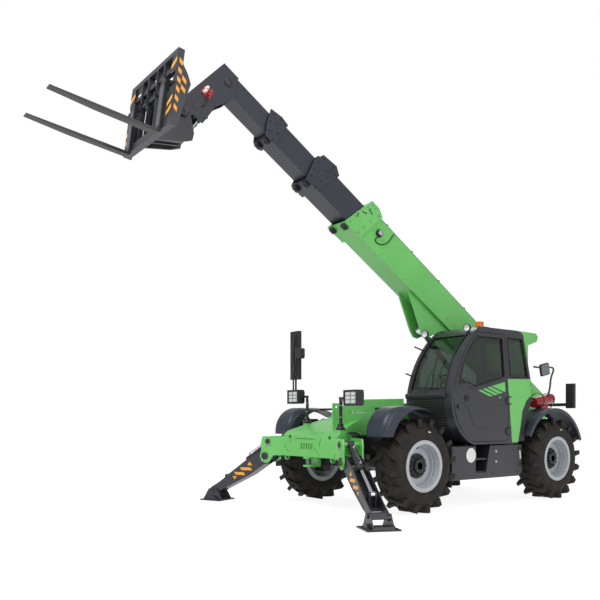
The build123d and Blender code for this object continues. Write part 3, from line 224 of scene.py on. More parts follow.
# wheel rims, warning marks, extinguisher and couplings, blank disc and small marks
paintSilver = sprayedEnamel("silver wheel enamel", "#B2B6BC", "#A3A7AD", "#8C857A", 0.36)
paintAmber = sprayedEnamel("amber reflective tape", "#F0A428", "#E39A24", "#C79850", 0.4)
paintRed = sprayedEnamel("signal red enamel", "#B3262B", "#A32227", "#7E4A44", 0.3)
paintWhite = sprayedEnamel("white enamel", "#E4E4E0", "#DADAD6", "#B9B4A8", 0.35)
# tyres; hoses and seals; lamp and mirror bodies; mudguards
rubberTyre = tyreRubber("tractor tyre rubber")
rubberSeal = mouldedPlastic("black rubber seal", "#141416", "#1E1E20", 0.7)
plasticBlack = mouldedPlastic("black moulded plastic", "#18191C", "#26272A")
plasticGuard = mouldedPlastic("slate rotomoulded plastic", "#262C38", "#323A48", 0.4)
# bright rods, dull bolts and pipes, dark mirrors, lamp bowls, thin pad lines
chromeRod = groundMetal("ground chrome rod", "#C9CED4")
steelZinc = groundMetal("zinc plated steel", "#A9ACB0")
silveredGlass = groundMetal("silvered mirror glass", "#8F979C")
reflectorBright = groundMetal("bright lamp reflector", "#E6E9EB")
brassShim = groundMetal("brass pad shim", "#B08A3C")
# windows that show the cab's inside, and the beacon's glow
glassCab = tintedGlass("tinted cab glass", "#75877D", 0.97)
lensAmber = tintedGlass("amber beacon lens", "#F08A18", 0.35)
# painted shade for the front box's recesses and the manifold, painted highlight on the fork shanks' front
# faces, cushions
paintGreenShaded = sprayedEnamel("shaded green enamel", "#3C7A38", "#356E31", "#5E6E4C", 0.5)
paintShankHighlight = sprayedEnamel("fork enamel with painted highlight", "#4B4F5A", "#3E424B", "#5C5650", 0.5)
clothSeat = wovenSeatCloth("woven seat cloth")
print("materials made")


# ---- modelling helpers ----

# how far thin parts sink into what carries them, and the bore left along a turned part's axis
sunk = 0.0005


def sideFrame(x, z, degrees=0.0, y=0.0):
    # local x runs along the given angle in the side view, local y up, local z to the machine's right
    turn = math.radians(degrees)
    along = Vector((math.cos(turn), 0, math.sin(turn)))
    up = Vector((-math.sin(turn), 0, math.cos(turn)))
    return Matrix.Translation((x, y, z)) @ Matrix((along, up, Vector((0, -1, 0)))).transposed().to_4x4()


def axisFrame(place, direction):
    # local x along the direction
    turn = Vector(direction).normalized().to_track_quat("X", "Z").to_matrix().to_4x4()
    return Matrix.Translation(place) @ turn


def facing(place, direction):
    # local z points along the direction, local y up
    z = Vector(direction).normalized()
    x = Vector((0, 0, 1)).cross(z).normalized()
    return Matrix.Translation(place) @ Matrix((x, z.cross(x), z)).transposed().to_4x4()


def shift(x, y, z):
    return Matrix.Translation((x, y, z))


def finishPiece(name, edit, material, body, sharp):
    bmesh.ops.recalc_face_normals(edit, faces=edit.faces)
    mesh = bpy.data.meshes.new(name)
    edit.to_mesh(mesh)
    edit.free()
    mesh.transform(shift(-middleX, 0, 0))
    edit = bmesh.new()
    edit.from_mesh(mesh)
    for face in edit.faces:
        face.smooth = True
    limit = math.radians(sharp)
    for edge in edit.edges:
        edge.smooth = len(edge.link_faces) == 2 and edge.calc_face_angle(4) < limit
    edit.to_mesh(mesh)
    edit.free()
    piece = bpy.data.objects.new(name, mesh)
    bpy.context.scene.collection.objects.link(piece)
    mesh.materials.append(material)
    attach(piece, body)
    return piece


def softenEdges(piece, width, angle=35):
    bevel = piece.modifiers.new("edgeRadius", "BEVEL")
    bevel.width = width
    bevel.segments = 2
    bevel.limit_method = "ANGLE"
    bevel.angle_limit = math.radians(angle)
    bevel.harden_normals = True


def plate(name, parts, material, radius=0.002, body="chassis"):
    # parts: (outline, frame, depth), each outline pushed along its frame's local z
    edit = bmesh.new()
    for outline, place, depth in parts:
        low, high = ([edit.verts.new(place @ Vector((x, y, z))) for x, y in outline] for z in (0, depth))
        edit.faces.new(low[::-1])
        edit.faces.new(high)
        for i in range(len(outline)):
            k = (i + 1) % len(outline)
            edit.faces.new((low[i], low[k], high[k], high[i]))
    piece = finishPiece(name, edit, material, body, 38)
    if radius:
        softenEdges(piece, radius)


def shaft(*points, end=None):
    # profile of a solid turned part, closed along its own axis
    return [(points[0][0], sunk), *points, (points[-1][0] if end is None else end, sunk)]


def spoke(place, along, radius, turn):
    # the point at a radius and turn about the frame's local x
    return place @ Vector((along, radius * math.cos(turn), radius * math.sin(turn)))


def turnInto(edit, profile, place, steps):
    # profile: (along, radius) points turned about the frame's local x
    rings = []
    for i in range(steps):
        turn = 2 * math.pi * i / steps
        rings.append([edit.verts.new(spoke(place, along, radius, turn)) for along, radius in profile])
    count = len(profile)
    for i in range(steps):
        near, far = rings[i], rings[(i + 1) % steps]
        for j in range(count):
            k = (j + 1) % count
            edit.faces.new((near[j], near[k], far[k], far[j]))


def turned(name, parts, material, steps=40, body="chassis", sharp=30):
    edit = bmesh.new()
    for profile, place in parts:
        turnInto(edit, profile, place, steps)
    bmesh.ops.remove_doubles(edit, verts=edit.verts, dist=1e-6)
    finishPiece(name, edit, material, body, sharp)


def tube(name, points, radius, material, body="chassis", smooth=True):
    curve = bpy.data.curves.new(name, "CURVE")
    curve.dimensions = "3D"
    curve.bevel_depth = radius
    curve.bevel_resolution = 4
    curve.resolution_u = 12
    curve.use_fill_caps = True
    spline = curve.splines.new("NURBS" if smooth else "POLY")
    spline.points.add(len(points) - 1)
    for point, place in zip(spline.points, points):
        point.co = (*place, 1)
    if smooth:
        spline.order_u = 3
        spline.use_endpoint_u = True
    curve.transform(shift(-middleX, 0, 0))
    piece = bpy.data.objects.new(name, curve)
    bpy.context.scene.collection.objects.link(piece)
    curve.materials.append(material)
    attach(piece, body)


def bolts(name, places, material, across, tall, body="chassis"):
    # hexagon heads on washers: places are (point, outward direction)
    edit = bmesh.new()
    corner = across / 2 / math.cos(math.pi / 6)
    for point, outward in places:
        at = axisFrame(point, outward)
        head = at @ Matrix.Rotation(random.uniform(0, 1), 4, "X")
        rings = []
        for along, reach in ((0.001, corner), (tall, corner), (tall + across * 0.06, corner * 0.8)):
            rings.append([edit.verts.new(spoke(head, along, reach, i * math.pi / 3)) for i in range(6)])
        edit.faces.new(rings[2])
        edit.faces.new(rings[0][::-1])
        for i in range(6):
            k = (i + 1) % 6
            for low, high in zip(rings, rings[1:]):
                edit.faces.new((low[i], low[k], high[k], high[i]))
        washer = across * 0.82
        turnInto(edit, ((-0.001, 0.0001), (0.002, 0.0001), (0.002, washer), (-0.001, washer)), at, 16)
    finishPiece(name, edit, material, body, 25)


def rectangle(x, y, width, height):
    return [(x + a * width / 2, y + b * height / 2) for a, b in ((-1, -1), (1, -1), (1, 1), (-1, 1))]


def disc(x, y, radius, steps):
    turns = [2 * math.pi * i / steps for i in range(steps)]
    return [(x + radius * math.cos(turn), y + radius * math.sin(turn)) for turn in turns]


def roundedBox(width, height, corner):
    # outline of a rectangle about the origin with round corners
    points = []
    right, top = width / 2 - corner, height / 2 - corner
    for cx, cy, start in ((right, top, 0), (-right, top, 90), (-right, -top, 180), (right, -top, 270)):
        for i in range(5):
            turn = math.radians(start + 22.5 * i)
            points.append((cx + corner * math.cos(turn), cy + corner * math.sin(turn)))
    return points


def fromAxles(box):
    # a CAD node's corners, counted from midway between the axles
    low, high = (Vector(v) for v in box)
    low.x += middleX
    high.x += middleX
    return low, high


# ---- finishes of the CAD nodes ----

def dress(name, material, radius=0.003):
    # a CAD node keeps its shape: it gets its finish and small edge radii
    node = nodes[name]
    node.data.materials.clear()
    node.data.materials.append(material)
    for polygon in node.data.polygons:
        polygon.material_index = 0
    if radius:
        weld = node.modifiers.new("joinFaces", "WELD")
        weld.merge_threshold = 0.00002
        flat = node.modifiers.new("flatFaces", "DECIMATE")
        flat.decimate_type = "DISSOLVE"
        flat.angle_limit = math.radians(1.5)
        softenEdges(node, radius, 34)
        even = node.modifiers.new("evenShade", "WEIGHTED_NORMAL")
        even.keep_sharp = False
        even.weight = 80


sides = (("left", 1), ("right", -1))
wheels = (("front_left", 1, 1), ("front_right", 1, -1), ("rear_left", -1, 1), ("rear_right", -1, -1))
for material, radius, names in (
    (paintGreen, 0.004, "boom_tower front_frame boom_base battery_pod pod_lid"),
    (paintSlate, 0.004, "boom_section_2 boom_section_3 boom_section_4"),
    (paintDark, 0.004, "leg_left leg_right foot_left foot_right carriage side_boxes door cab_shell"),
    (paintBlack, 0.004, "chassis_frame front_axle rear_axle fork_left fork_right counterweight "
                        "leg_barrel_left leg_barrel_right lift_barrel tilt_barrel"),
    (chromeRod, 0, "lift_rod tilt_rod leg_rod_left leg_rod_right"),
    (plasticGuard, 0.003, "mudguards"),
    (plasticBlack, 0.004, "cab_interior lamps"),
    (plasticBlack, 0.01, "mirrors"),
    (plasticBlack, 0, "battery_block"),
    (glassCab, 0, "cab_glass door_glass"),
    (clothSeat, 0.02, "seat"),
    (paintRed, 0.004, "extinguisher"),
):
    for name in names.split():
        dress(name, material, radius)
for corner, _, _ in wheels:
    dress(corner + "_tyre", rubberTyre)
    dress(corner + "_rim", paintSilver, 0)
    dress(corner + "_knuckle", paintBlack, 0)
print("nodes dressed")


# ---- places ----

placeSet = {
    "boomFoot": (-1.581, 2.081), "boomRise": 31.67,
    "forkHeel": (4.885, 4.416), "carriageTilt": 8.07,
    "cabSide": 1.1, "cabLean": 0.0817, "waist": 1.56,
    "legPin": (2.442, 0.882, 0.7), "legSplay": 23.4,
}


def slopedFrame(corner, degrees, along, up, y):
    # a place along and up from a corner, in a frame that slopes in the side view
    turn = math.radians(degrees)
    x = corner[0] + along * math.cos(turn) - up * math.sin(turn)
    z = corner[1] + along * math.sin(turn) + up * math.cos(turn)
    return sideFrame(x, z, degrees, y)


def boomFrame(u, v, y):
    # local x along the boom, local y across it
    return slopedFrame(placeSet["boomFoot"], placeSet["boomRise"], u, v, y)


def boomPoint(u, v, y):
    return boomFrame(u, v, y).translation


def carriageFrame(x, z, y):
    # from the forks' heel, tilted as the carriage is
    return slopedFrame(placeSet["forkHeel"], placeSet["carriageTilt"], x, z, y)


def carriageFront(x, y):
    # across the carriage's front: local z points forward, local x to the machine's left
    forward = Matrix(((0, 0, 1, 0), (0, 1, 0, 0), (-1, 0, 0, 0), (0, 0, 0, 1)))
    return carriageFrame(x, 0, 0) @ shift(0, 0, -y) @ forward


def cabSideFrame(stand=0.0):
    # the cab's left side above the waist leans in; local y runs up it from there
    up = Vector((0, -placeSet["cabLean"], 1)).normalized()
    into = Vector((1, 0, 0)).cross(up)
    place = Vector((0, placeSet["cabSide"], placeSet["waist"])) - into * stand
    return shift(*place) @ Matrix((Vector((1, 0, 0)), up, into)).transposed().to_4x4()


def overWaist(points):
    return [(x, z - placeSet["waist"]) for x, z in points]


def legFrame(side, angle, along, up, forward):
    # local x along the leg's line, y up from it, z to the front; the right leg mirrors the left one
    splay, turn = math.radians(placeSet["legSplay"]), math.radians(angle)
    outward = Vector((math.sin(splay), math.cos(splay), 0))
    swing = Vector((math.cos(splay), -math.sin(splay), 0))
    runs = outward * math.cos(turn) + Vector((0, 0, math.sin(turn)))
    lifts = Vector((0, 0, math.cos(turn))) - outward * math.sin(turn)
    place = Vector(placeSet["legPin"]) + runs * along + lifts * up + swing * forward
    left = shift(*place) @ Matrix((runs, lifts, swing)).transposed().to_4x4()
    return Matrix.Diagonal((1, side, 1, 1)) @ left


# ---- wheels: hubs, studs, sidewalls ----

wheelSet = {"reach": 1.02, "axle": 1.485, "height": 0.62, "hubFace": 0.084, "capFace": 0.127}


def wheelTrim(corner, x, side):
    outward = (0, side, 0)
    at = axisFrame((x, side * wheelSet["reach"], wheelSet["height"]), outward)
    body = corner + "_wheel"
    # planetary hub: drum, step, end cap
    drum = shaft((0.05, 0.163), (0.072, 0.163), (0.084, 0.154), (0.084, 0.106), (0.09, 0.1), (0.118, 0.095),
                 (0.127, 0.086), (0.127, 0.052), (0.122, 0.047))
    turned("hubDrum_" + corner, [(drum, at)], paintBlack, 48, body, 25)
    for name, along, radius, count, start, across, tall in (
        ("hubNuts_", wheelSet["hubFace"], 0.129, 12, 0, 0.026, 0.02),
        ("hubCapBolts_", wheelSet["capFace"], 0.07, 6, 0.5, 0.017, 0.008),
    ):
        turns = [2 * math.pi * (i + start) / count for i in range(count)]
        ring = [(spoke(at, along, radius, turn), outward) for turn in turns]
        bolts(name + corner, ring, paintBlack, across, tall, body)
    # sidewalls swell out between bead and shoulder, with a rim guard ring
    wall = [(0.184, 0.337), (0.197, 0.345), (0.203, 0.358), (0.2, 0.366), (0.205, 0.395), (0.206, 0.43),
            (0.2, 0.462), (0.19, 0.487), (0.176, 0.503), (0.16, 0.503), (0.16, 0.337)]
    turned("sidewalls_" + corner, [(wall, at), ([(-a, r) for a, r in wall], at)], rubberTyre, 72, body, 40)
    # painted highlight: a small pale arc near the top of each outer sidewall, where light catches its crest
    inner, outer = ([(edge * math.sin(math.radians(t)), edge * math.cos(math.radians(t)))
                     for t in (8, 10, 12, 14)]
                    for edge in (0.443, 0.455))
    face = facing((x, side * (wheelSet["reach"] + 0.2035), wheelSet["height"]), outward)
    plate("sidewallHighlight_" + corner, [(inner + outer[::-1], face, 0.0032)], paintWhite, 0, body)
    # valve stem in the rim's inner step
    stem = shaft((0.0, 0.007), (0.03, 0.006), (0.03, 0.008), (0.042, 0.008), end=0.044)
    turned("valve_" + corner, [(stem, axisFrame(at @ Vector((0.052, 0.0, 0.225)), (0, side, 0.25)))],
           rubberSeal, 14, body)


for corner, way, side in wheels:
    wheelTrim(corner, way * wheelSet["axle"], side)
print("wheels trimmed")


# ---- stabiliser legs: warning marks, pin heads, ram trim ----

legSet = {"angle": -30.44, "frontFace": 0.105, "ankle": 1.0856, "ramFoot": (-0.05, 0.21),
          "ramEye": (0.8, 0.084)}


def legTrim(name, side):
    turn = math.radians(-legSet["angle"])
    level, rise = Vector((math.cos(turn), math.sin(turn))), Vector((-math.sin(turn), math.cos(turn)))
    front = legFrame(side, legSet["angle"], 0, 0, legSet["frontFace"] - sunk)
    # slanted marks: a place on the leg, then corners as level and upright offsets from it
    marks = []
    for along, up, corners in (
        (0.305, 0.03, ((-0.04, -0.022), (0.045, -0.022), (0.004, 0.034))),
        (0.4, 0.0, ((-0.105, -0.022), (0.085, -0.022), (0.105, 0.02), (-0.075, 0.02))),
        (0.535, -0.006, ((-0.1, -0.022), (0.075, -0.022), (0.098, 0.02), (-0.068, 0.02))),
        (0.64, -0.02, ((-0.032, 0.02), (0.042, 0.02), (0.006, -0.026))),
    ):
        marks.append(([tuple(Vector((along, up)) + level * a + rise * b) for a, b in corners], front, 0.0015))
    plate("legMarks_" + name, marks, paintAmber, 0, "leg_" + name)
    # weld bead and stiffener strip along the plate's lower edge
    strip = [(0.06, -0.081), (0.4, -0.1), (0.9, -0.064), (0.9, -0.048), (0.4, -0.084), (0.06, -0.065)]
    plate("legStrip_" + name, [(strip, front, 0.005)], paintSlate, 0.0015, "leg_" + name)
    # pin heads with a keeper plate and two bolts, on the bracket's outer face
    heads, keepers, screws = [], [], []
    for along, up, radius in ((0, 0, 0.052), (*legSet["ramFoot"], 0.036)):
        at = legFrame(side, 0, along, up, 0.146)
        forward = (at @ Vector((0, 0, 1))) - at.translation
        head = shaft((0.0, radius), (0.008, radius), (0.012, radius - 0.005), (0.012, 0.012), end=0.008)
        heads.append((head, axisFrame(at.translation, forward)))
        keepers.append((rectangle(0.0, -radius - 0.012, 0.09, 0.026), legFrame(side, 0, along, up, 0.134),
                        0.009))
        for dx in (-0.032, 0.032):
            screws.append((legFrame(side, 0, along + dx, up - radius - 0.012, 0.143).translation, forward))
    turned("bracketPins_" + name, heads, paintBlack, 28)
    plate("bracketKeepers_" + name, keepers, paintGreen)
    bolts("bracketBolts_" + name, screws, steelZinc, 0.015, 0.007)
    # dark pin head at the ankle, and ribs that run down the foot plate
    ankle = legFrame(side, legSet["angle"], legSet["ankle"], 0, 0.133)
    forward = (ankle @ Vector((0, 0, 1))) - ankle.translation
    pin = shaft((0.0, 0.03), (0.006, 0.03), (0.01, 0.026))
    turned("anklePin_" + name, [(pin, axisFrame(ankle.translation, forward))], paintBlack, 24, "foot_" + name)
    rib = [(-0.12, 0.016), (0.12, 0.016), (0.03, 0.07), (-0.03, 0.07)]
    ribs = [(rib, legFrame(side, 0, 0.936, -0.7, forward), 0.014) for forward in (-0.165, 0.15)]
    plate("footRibs_" + name, ribs, paintSlate, 0.002, "foot_" + name)


def ramTrim(name, side):
    # oil ports and a steel pipe along the stabiliser ram's barrel
    turn = math.radians(legSet["angle"])
    footX, footZ = legSet["ramFoot"]
    eyeX, eyeZ = legSet["ramEye"]
    angle = math.degrees(math.atan2(eyeX * math.sin(turn) + eyeZ * math.cos(turn) - footZ,
                                    eyeX * math.cos(turn) - eyeZ * math.sin(turn) - footX))
    offset = legFrame(side, 0, footX, footZ, 0).translation - legFrame(side, 0, 0, 0, 0).translation

    def place(along, up, forward=0):
        return legFrame(side, angle, 0, 0, forward) @ Vector((along, up, 0)) + offset

    body = "leg_tube_" + name
    port = shaft((0.0, 0.016), (0.018, 0.016), (0.02, 0.013), (0.034, 0.013), end=0.036)
    ports = [(port, axisFrame(place(a, 0.045), place(a, 0.1) - place(a, 0.045))) for a in (0.13, 0.44)]
    turned("ramPorts_" + name, ports, steelZinc, 18, body)
    line = ((0.44, 0.075, 0), (0.41, 0.078, 0), (0.36, 0.066, 0.006), (0.2, 0.062, 0.01), (0.15, 0.07, 0.006),
            (0.13, 0.078, 0))
    tube("ramPipe_" + name, [place(*point) for point in line], 0.0065, steelZinc, body)
    bands = [([(a, 0.047), (a, 0.051), (a + 0.018, 0.051), (a + 0.018, 0.047)],
              axisFrame(place(0, 0), place(1, 0) - place(0, 0))) for a in (0.17, 0.33)]
    turned("ramBands_" + name, bands, paintBlack, 32, body)


for name, side in sides:
    legTrim(name, side)
for name, side in sides:
    ramTrim(name, side)
print("legs trimmed")


# ---- front frame: louvre inserts, valve block ----

frontSet = {"faceX": 2.475, "browX": 2.413, "lowZ": 0.72, "browZ": 1.005, "grooveDeep": -0.0095,
            "lipOut": -0.001}


def frontFaceFrame(y, up, out):
    # local x to the machine's left, local y up the sloping front face, local z out of it
    rise = Vector((frontSet["browX"] - frontSet["faceX"], 0,
                   frontSet["browZ"] - frontSet["lowZ"])).normalized()
    z = Vector((0, 1, 0)).cross(rise)
    place = Vector((frontSet["faceX"], y, frontSet["lowZ"])) + rise * up + z * out
    return shift(*place) @ Matrix((Vector((0, 1, 0)), rise, z)).transposed().to_4x4()


def frontTrim():
    # grooves and louvre slots in green with painted shade, each y, rise, width, height; then narrow lips
    # round the louvre
    grooves = [(-0.09, 0.245, 0.416, 0.007), (-0.4, 0.2246, 0.009, 0.106), (0.25, 0.2042, 0.009, 0.106)]
    grooves += [(-0.128 + 0.052 * i, 0.1429, 0.02, 0.068) for i in range(5)]
    lips = [(-0.024, 0.184, 0.262, 0.006), (-0.024, 0.102, 0.262, 0.006), (-0.155, 0.143, 0.006, 0.088),
            (0.107, 0.143, 0.006, 0.088)]
    for name, bars, out, depth, material, radius in (
        ("frontSlots", grooves, frontSet["grooveDeep"], 0.003, paintGreenShaded, 0),
        ("louvreLips", lips, frontSet["lipOut"], 0.005, paintGreen, 0.0015),
    ):
        plate(name, [(rectangle(0, 0, w, h), frontFaceFrame(y, up, out), depth) for y, up, w, h in bars],
              material, radius)
    # black discs as painted shade where the drain holes sit at the box's upper corners
    hole = shaft((0.0, 0.024), (0.0015, 0.024))
    places = [axisFrame(frontFaceFrame(y, 0.272, -sunk).translation, (0.97, 0, 0.21)) for y in (-0.43, 0.43)]
    turned("cornerHoleShade", [(hole, place) for place in places], paintBlack, 24)


def valveBlock():
    # green manifold with couplings beside the left bracket, and pipes that leave it for the box
    x, z = 2.1, 0.83
    at = facing((x, 0.55, z), (0, 1, 0))
    # the manifold's darker green is painted shade
    plate("manifold", [(roundedBox(0.17, 0.13, 0.008), at, 0.075),
                       (rectangle(0.05, 0.085, 0.05, 0.06), at, 0.06)],
          paintGreenShaded, 0.003)
    fitting = shaft((0.0, 0.019), (0.014, 0.019), (0.017, 0.014), (0.035, 0.014), (0.037, 0.017),
                    (0.05, 0.017), end=0.052)
    spots = ((-0.055, 0.03), (0.0, 0.035), (0.055, 0.03), (-0.03, -0.03), (0.03, -0.03))
    turned("couplings", [(fitting, axisFrame((x + dx, 0.62, z + dz), (0, 1, 0.1))) for dx, dz in spots],
           steelZinc, 20)
    for i, dx in enumerate((-0.055, 0.0, 0.055)):
        start = Vector((x + dx, 0.66, 0.865))
        bends = ((0, 0, 0), (0, 0.03, 0.012), (0.015, 0.032, 0.1), (0.03, -0.04, 0.17), (0.03, -0.14, 0.19))
        tube("valvePipe_%d" % i, [start + Vector(bend) for bend in bends], 0.009, rubberSeal)


frontTrim()
valveBlock()


# ---- work lamps on posts, tall mirror ----

lampSet = {"near": ((2.36, 0.83, 1.5), (2.33, 0.545, 1.09), 1),
           "far": ((2.15, -0.64, 1.55), (2.1, -0.44, 1.17), -1), "width": 0.25, "height": 0.2, "deep": 0.11,
           "rim": 0.02}


def workLamp(name, centre):
    x, y, z = centre
    width, height, deep, rim = (lampSet[key] for key in ("width", "height", "deep", "rim"))
    front = facing((x + deep / 2 - 0.001, y, z), (1, 0, 0))
    bars = [rectangle(0, s * (height - rim) / 2, width, rim) for s in (1, -1)]
    bars += [rectangle(s * (width - rim) / 2, 0, rim, height - 2 * rim) for s in (1, -1)]
    plate("lampBezel_" + name, [(bar, front, 0.012) for bar in bars], plasticBlack, 0.003)
    # two columns of three bright reflector cups
    spots = [(i * 0.1, j * 0.05) for i in (-0.5, 0.5) for j in (-1, 0, 1)]
    cups = [(roundedBox(0.092, 0.045, 0.008), front @ shift(a, b, 0.0008), 0.003) for a, b in spots]
    plate("lampCups_" + name, cups, reflectorBright, 0.0012)
    diodes = [(roundedBox(0.028, 0.022, 0.005), front @ shift(a, b, 0.003), 0.004) for a, b in spots]
    plate("lampDiodes_" + name, diodes, paintWhite, 0.001)
    # cooling fins behind
    fin = rectangle(-deep / 2 - 0.012, 0, 0.03, height * 0.8)
    plate("lampFins_" + name, [(fin, sideFrame(x, z, 0, y + k * 0.026), 0.005) for k in range(-4, 5)],
          plasticBlack, 0.001)


def lampPost(name, foot, centre, side):
    # square foot block and a cable clipped to the post
    x, y, z = foot
    top = centre[2]
    plate("postFoot_" + name, [(roundedBox(0.09, 0.09, 0.008), shift(x, y, z - 0.004), 0.035),
                               (roundedBox(0.062, 0.062, 0.01), shift(x, y, z + 0.03), 0.05)], paintBlack,
                               0.003)
    corners = [((x + dx, y + dy, z + 0.031), (0, 0, 1)) for dx in (-0.034, 0.034) for dy in (-0.034, 0.034)]
    bolts("postBolts_" + name, corners, steelZinc, 0.013, 0.007)
    tube("postCable_" + name, [(x - 0.025, y, z + 0.03), (x - 0.024, y, z + 0.1), (x - 0.024, y, top - 0.06),
                               (x - 0.03, y + side * 0.03, top + 0.022),
                               (centre[0] - 0.075, centre[1] - side * 0.02, top + 0.01)], 0.006, rubberSeal)
    clip = [(0.0, 0.0185), (0.0, 0.0215), (0.012, 0.0215), (0.012, 0.0185)]
    clips = [(clip, axisFrame((x, y, height), (0, 0, 1))) for height in (z + 0.16, top - 0.1)]
    turned("postClips_" + name, clips, steelZinc, 24)


def mirrorHead():
    # tall mirror: silvered glass behind, ribbed back, a small camera box at its side
    x, y, z = 2.15, -0.64, 2.15
    back = facing((x - 0.029, y, z), (-1, 0, 0))
    plate("mirrorGlass", [(roundedBox(0.165, 0.4, 0.02), back @ shift(0, 0.13, 0), 0.003),
                          (roundedBox(0.165, 0.22, 0.02), back @ shift(0, -0.21, 0), 0.003)], silveredGlass,
                          0.001)
    front = facing((x + 0.029, y, z), (1, 0, 0))
    ribs = [(roundedBox(0.13, 0.62, 0.03), front, 0.012)]
    ribs += [(roundedBox(0.09, 0.1, 0.02), front @ shift(0, rise, 0), 0.03) for rise in (0.2, -0.2)]
    plate("mirrorBack", ribs, plasticBlack, 0.005)
    box = facing((x, y + 0.155, z + 0.02), (1, 0, 0))
    plate("mirrorCamera", [(roundedBox(0.12, 0.15, 0.03), box, 0.09),
                           (rectangle(-0.07, 0, 0.1, 0.03), box, 0.03)],
          plasticBlack, 0.006)
    tube("mirrorRod", [(x + 0.045, y, 1.62), (x + 0.047, y, 1.8), (x + 0.047, y, 2.2), (x + 0.047, y, 2.42)],
         0.012, paintBlack)


for name in ("near", "far"):
    workLamp(name, lampSet[name][0])
for name in ("near", "far"):
    centre, foot, side = lampSet[name]
    lampPost(name, foot, centre, side)
mirrorHead()
print("front trimmed")


# ---- boom: collars, wear pads, extension pipes, lamp, head ----

boomSet = {
    "baseCollar": {
        "body": "boom", "face": 0.187, "front": 3.96, "low": -0.262, "wide": 0.165,
        "finish": (paintGreen, steelZinc, paintDark),
        "bolts": [(3.52, 0.225), (3.62, 0.285), (3.7, 0.285), (3.745, 0.2), (3.8, 0.08), (3.86, -0.06),
                  (3.9, -0.2), (3.7, -0.225), (3.66, -0.1), (3.6, 0.06)],
        "bars": [(3.837, -0.02, 0.06, 0.02, 70), (3.655, 0.17, 0.06, 0.018, 20),
                 (3.75, 0.09, 0.075, 0.018, -25), (3.7, 0.19, 0.05, 0.016, -65)]},
    "collarTwo": {
        "body": "section_2", "face": 0.167, "front": 4.77, "low": -0.222, "wide": 0.145,
        "finish": (paintSlate, paintBlack, paintBlack),
        "bolts": [(4.42, 0.19), (4.5, 0.25), (4.68, 0.225), (4.74, 0.12), (4.745, 0.0), (4.735, -0.12),
                  (4.6, -0.19), (4.56, -0.06), (4.5, 0.06)],
        "bars": [(4.68, 0.04, 0.06, 0.016, 60), (4.56, 0.13, 0.07, 0.016, -20),
                 (4.64, -0.08, 0.05, 0.014, 80), (4.52, 0.19, 0.05, 0.014, 30)]},
    "collarThree": {
        "body": "section_3", "face": 0.147, "front": 5.54, "low": -0.186, "wide": 0.125,
        "finish": (paintSlate, paintBlack, paintBlack),
        "bolts": [(5.4, 0.155), (5.47, 0.175), (5.6, 0.14), (5.59, 0.02), (5.54, -0.09), (5.44, -0.155),
                  (5.42, -0.02)],
        "bars": [(5.5, 0.05, 0.055, 0.014, 50), (5.46, 0.11, 0.05, 0.014, -30),
                 (5.5, -0.08, 0.045, 0.012, 75)]},
}


def skin(face, thick, side):
    # where a thin plate starts that stands on a face at side * face and runs to the machine's right
    return face + thick - sunk if side > 0 else sunk - face


def turnedBar(width, height, degrees):
    turn = math.radians(degrees)
    return [(a * math.cos(turn) - b * math.sin(turn), a * math.sin(turn) + b * math.cos(turn))
            for a, b in rectangle(0, 0, width, height)]


def collarTrim(name, collar):
    face, body = collar["face"], collar["body"]
    _, boltFinish, barFinish = collar["finish"]
    heads, bars = [], []
    for side in (1, -1):
        heads += [(boomPoint(u, v, side * face), (0, side, 0)) for u, v in collar["bolts"]]
        for u, v, width, height, turn in collar["bars"]:
            bars.append((turnedBar(width, height, turn), boomFrame(u, v, skin(face, 0.0045, side)), 0.0045))
    bolts(name + "Bolts", heads, boltFinish, 0.019, 0.008, body)
    plate(name + "Adjusters", bars, barFinish, 0.0015, body)
    # wear-pad boxes that hang from the lower front corners, each with a brass shim line
    boxes, shims = [], []
    u, v = collar["front"] - 0.055, collar["low"] - 0.012
    for y in (collar["wide"] - 0.01, -collar["wide"] + 0.08):
        boxes.append((roundedBox(0.1, 0.062, 0.01), boomFrame(u, v, y), 0.07))
        boxes.append((roundedBox(0.06, 0.09, 0.008), boomFrame(u, v, y - 0.015), 0.04))
        shims.append((rectangle(0, 0.034, 0.09, 0.004), boomFrame(u + 0.005, v, y + 0.0015), 0.073))
    plate(name + "PadBoxes", boxes, paintBlack, 0.004, body)
    plate(name + "Shims", shims, brassShim, 0, body)


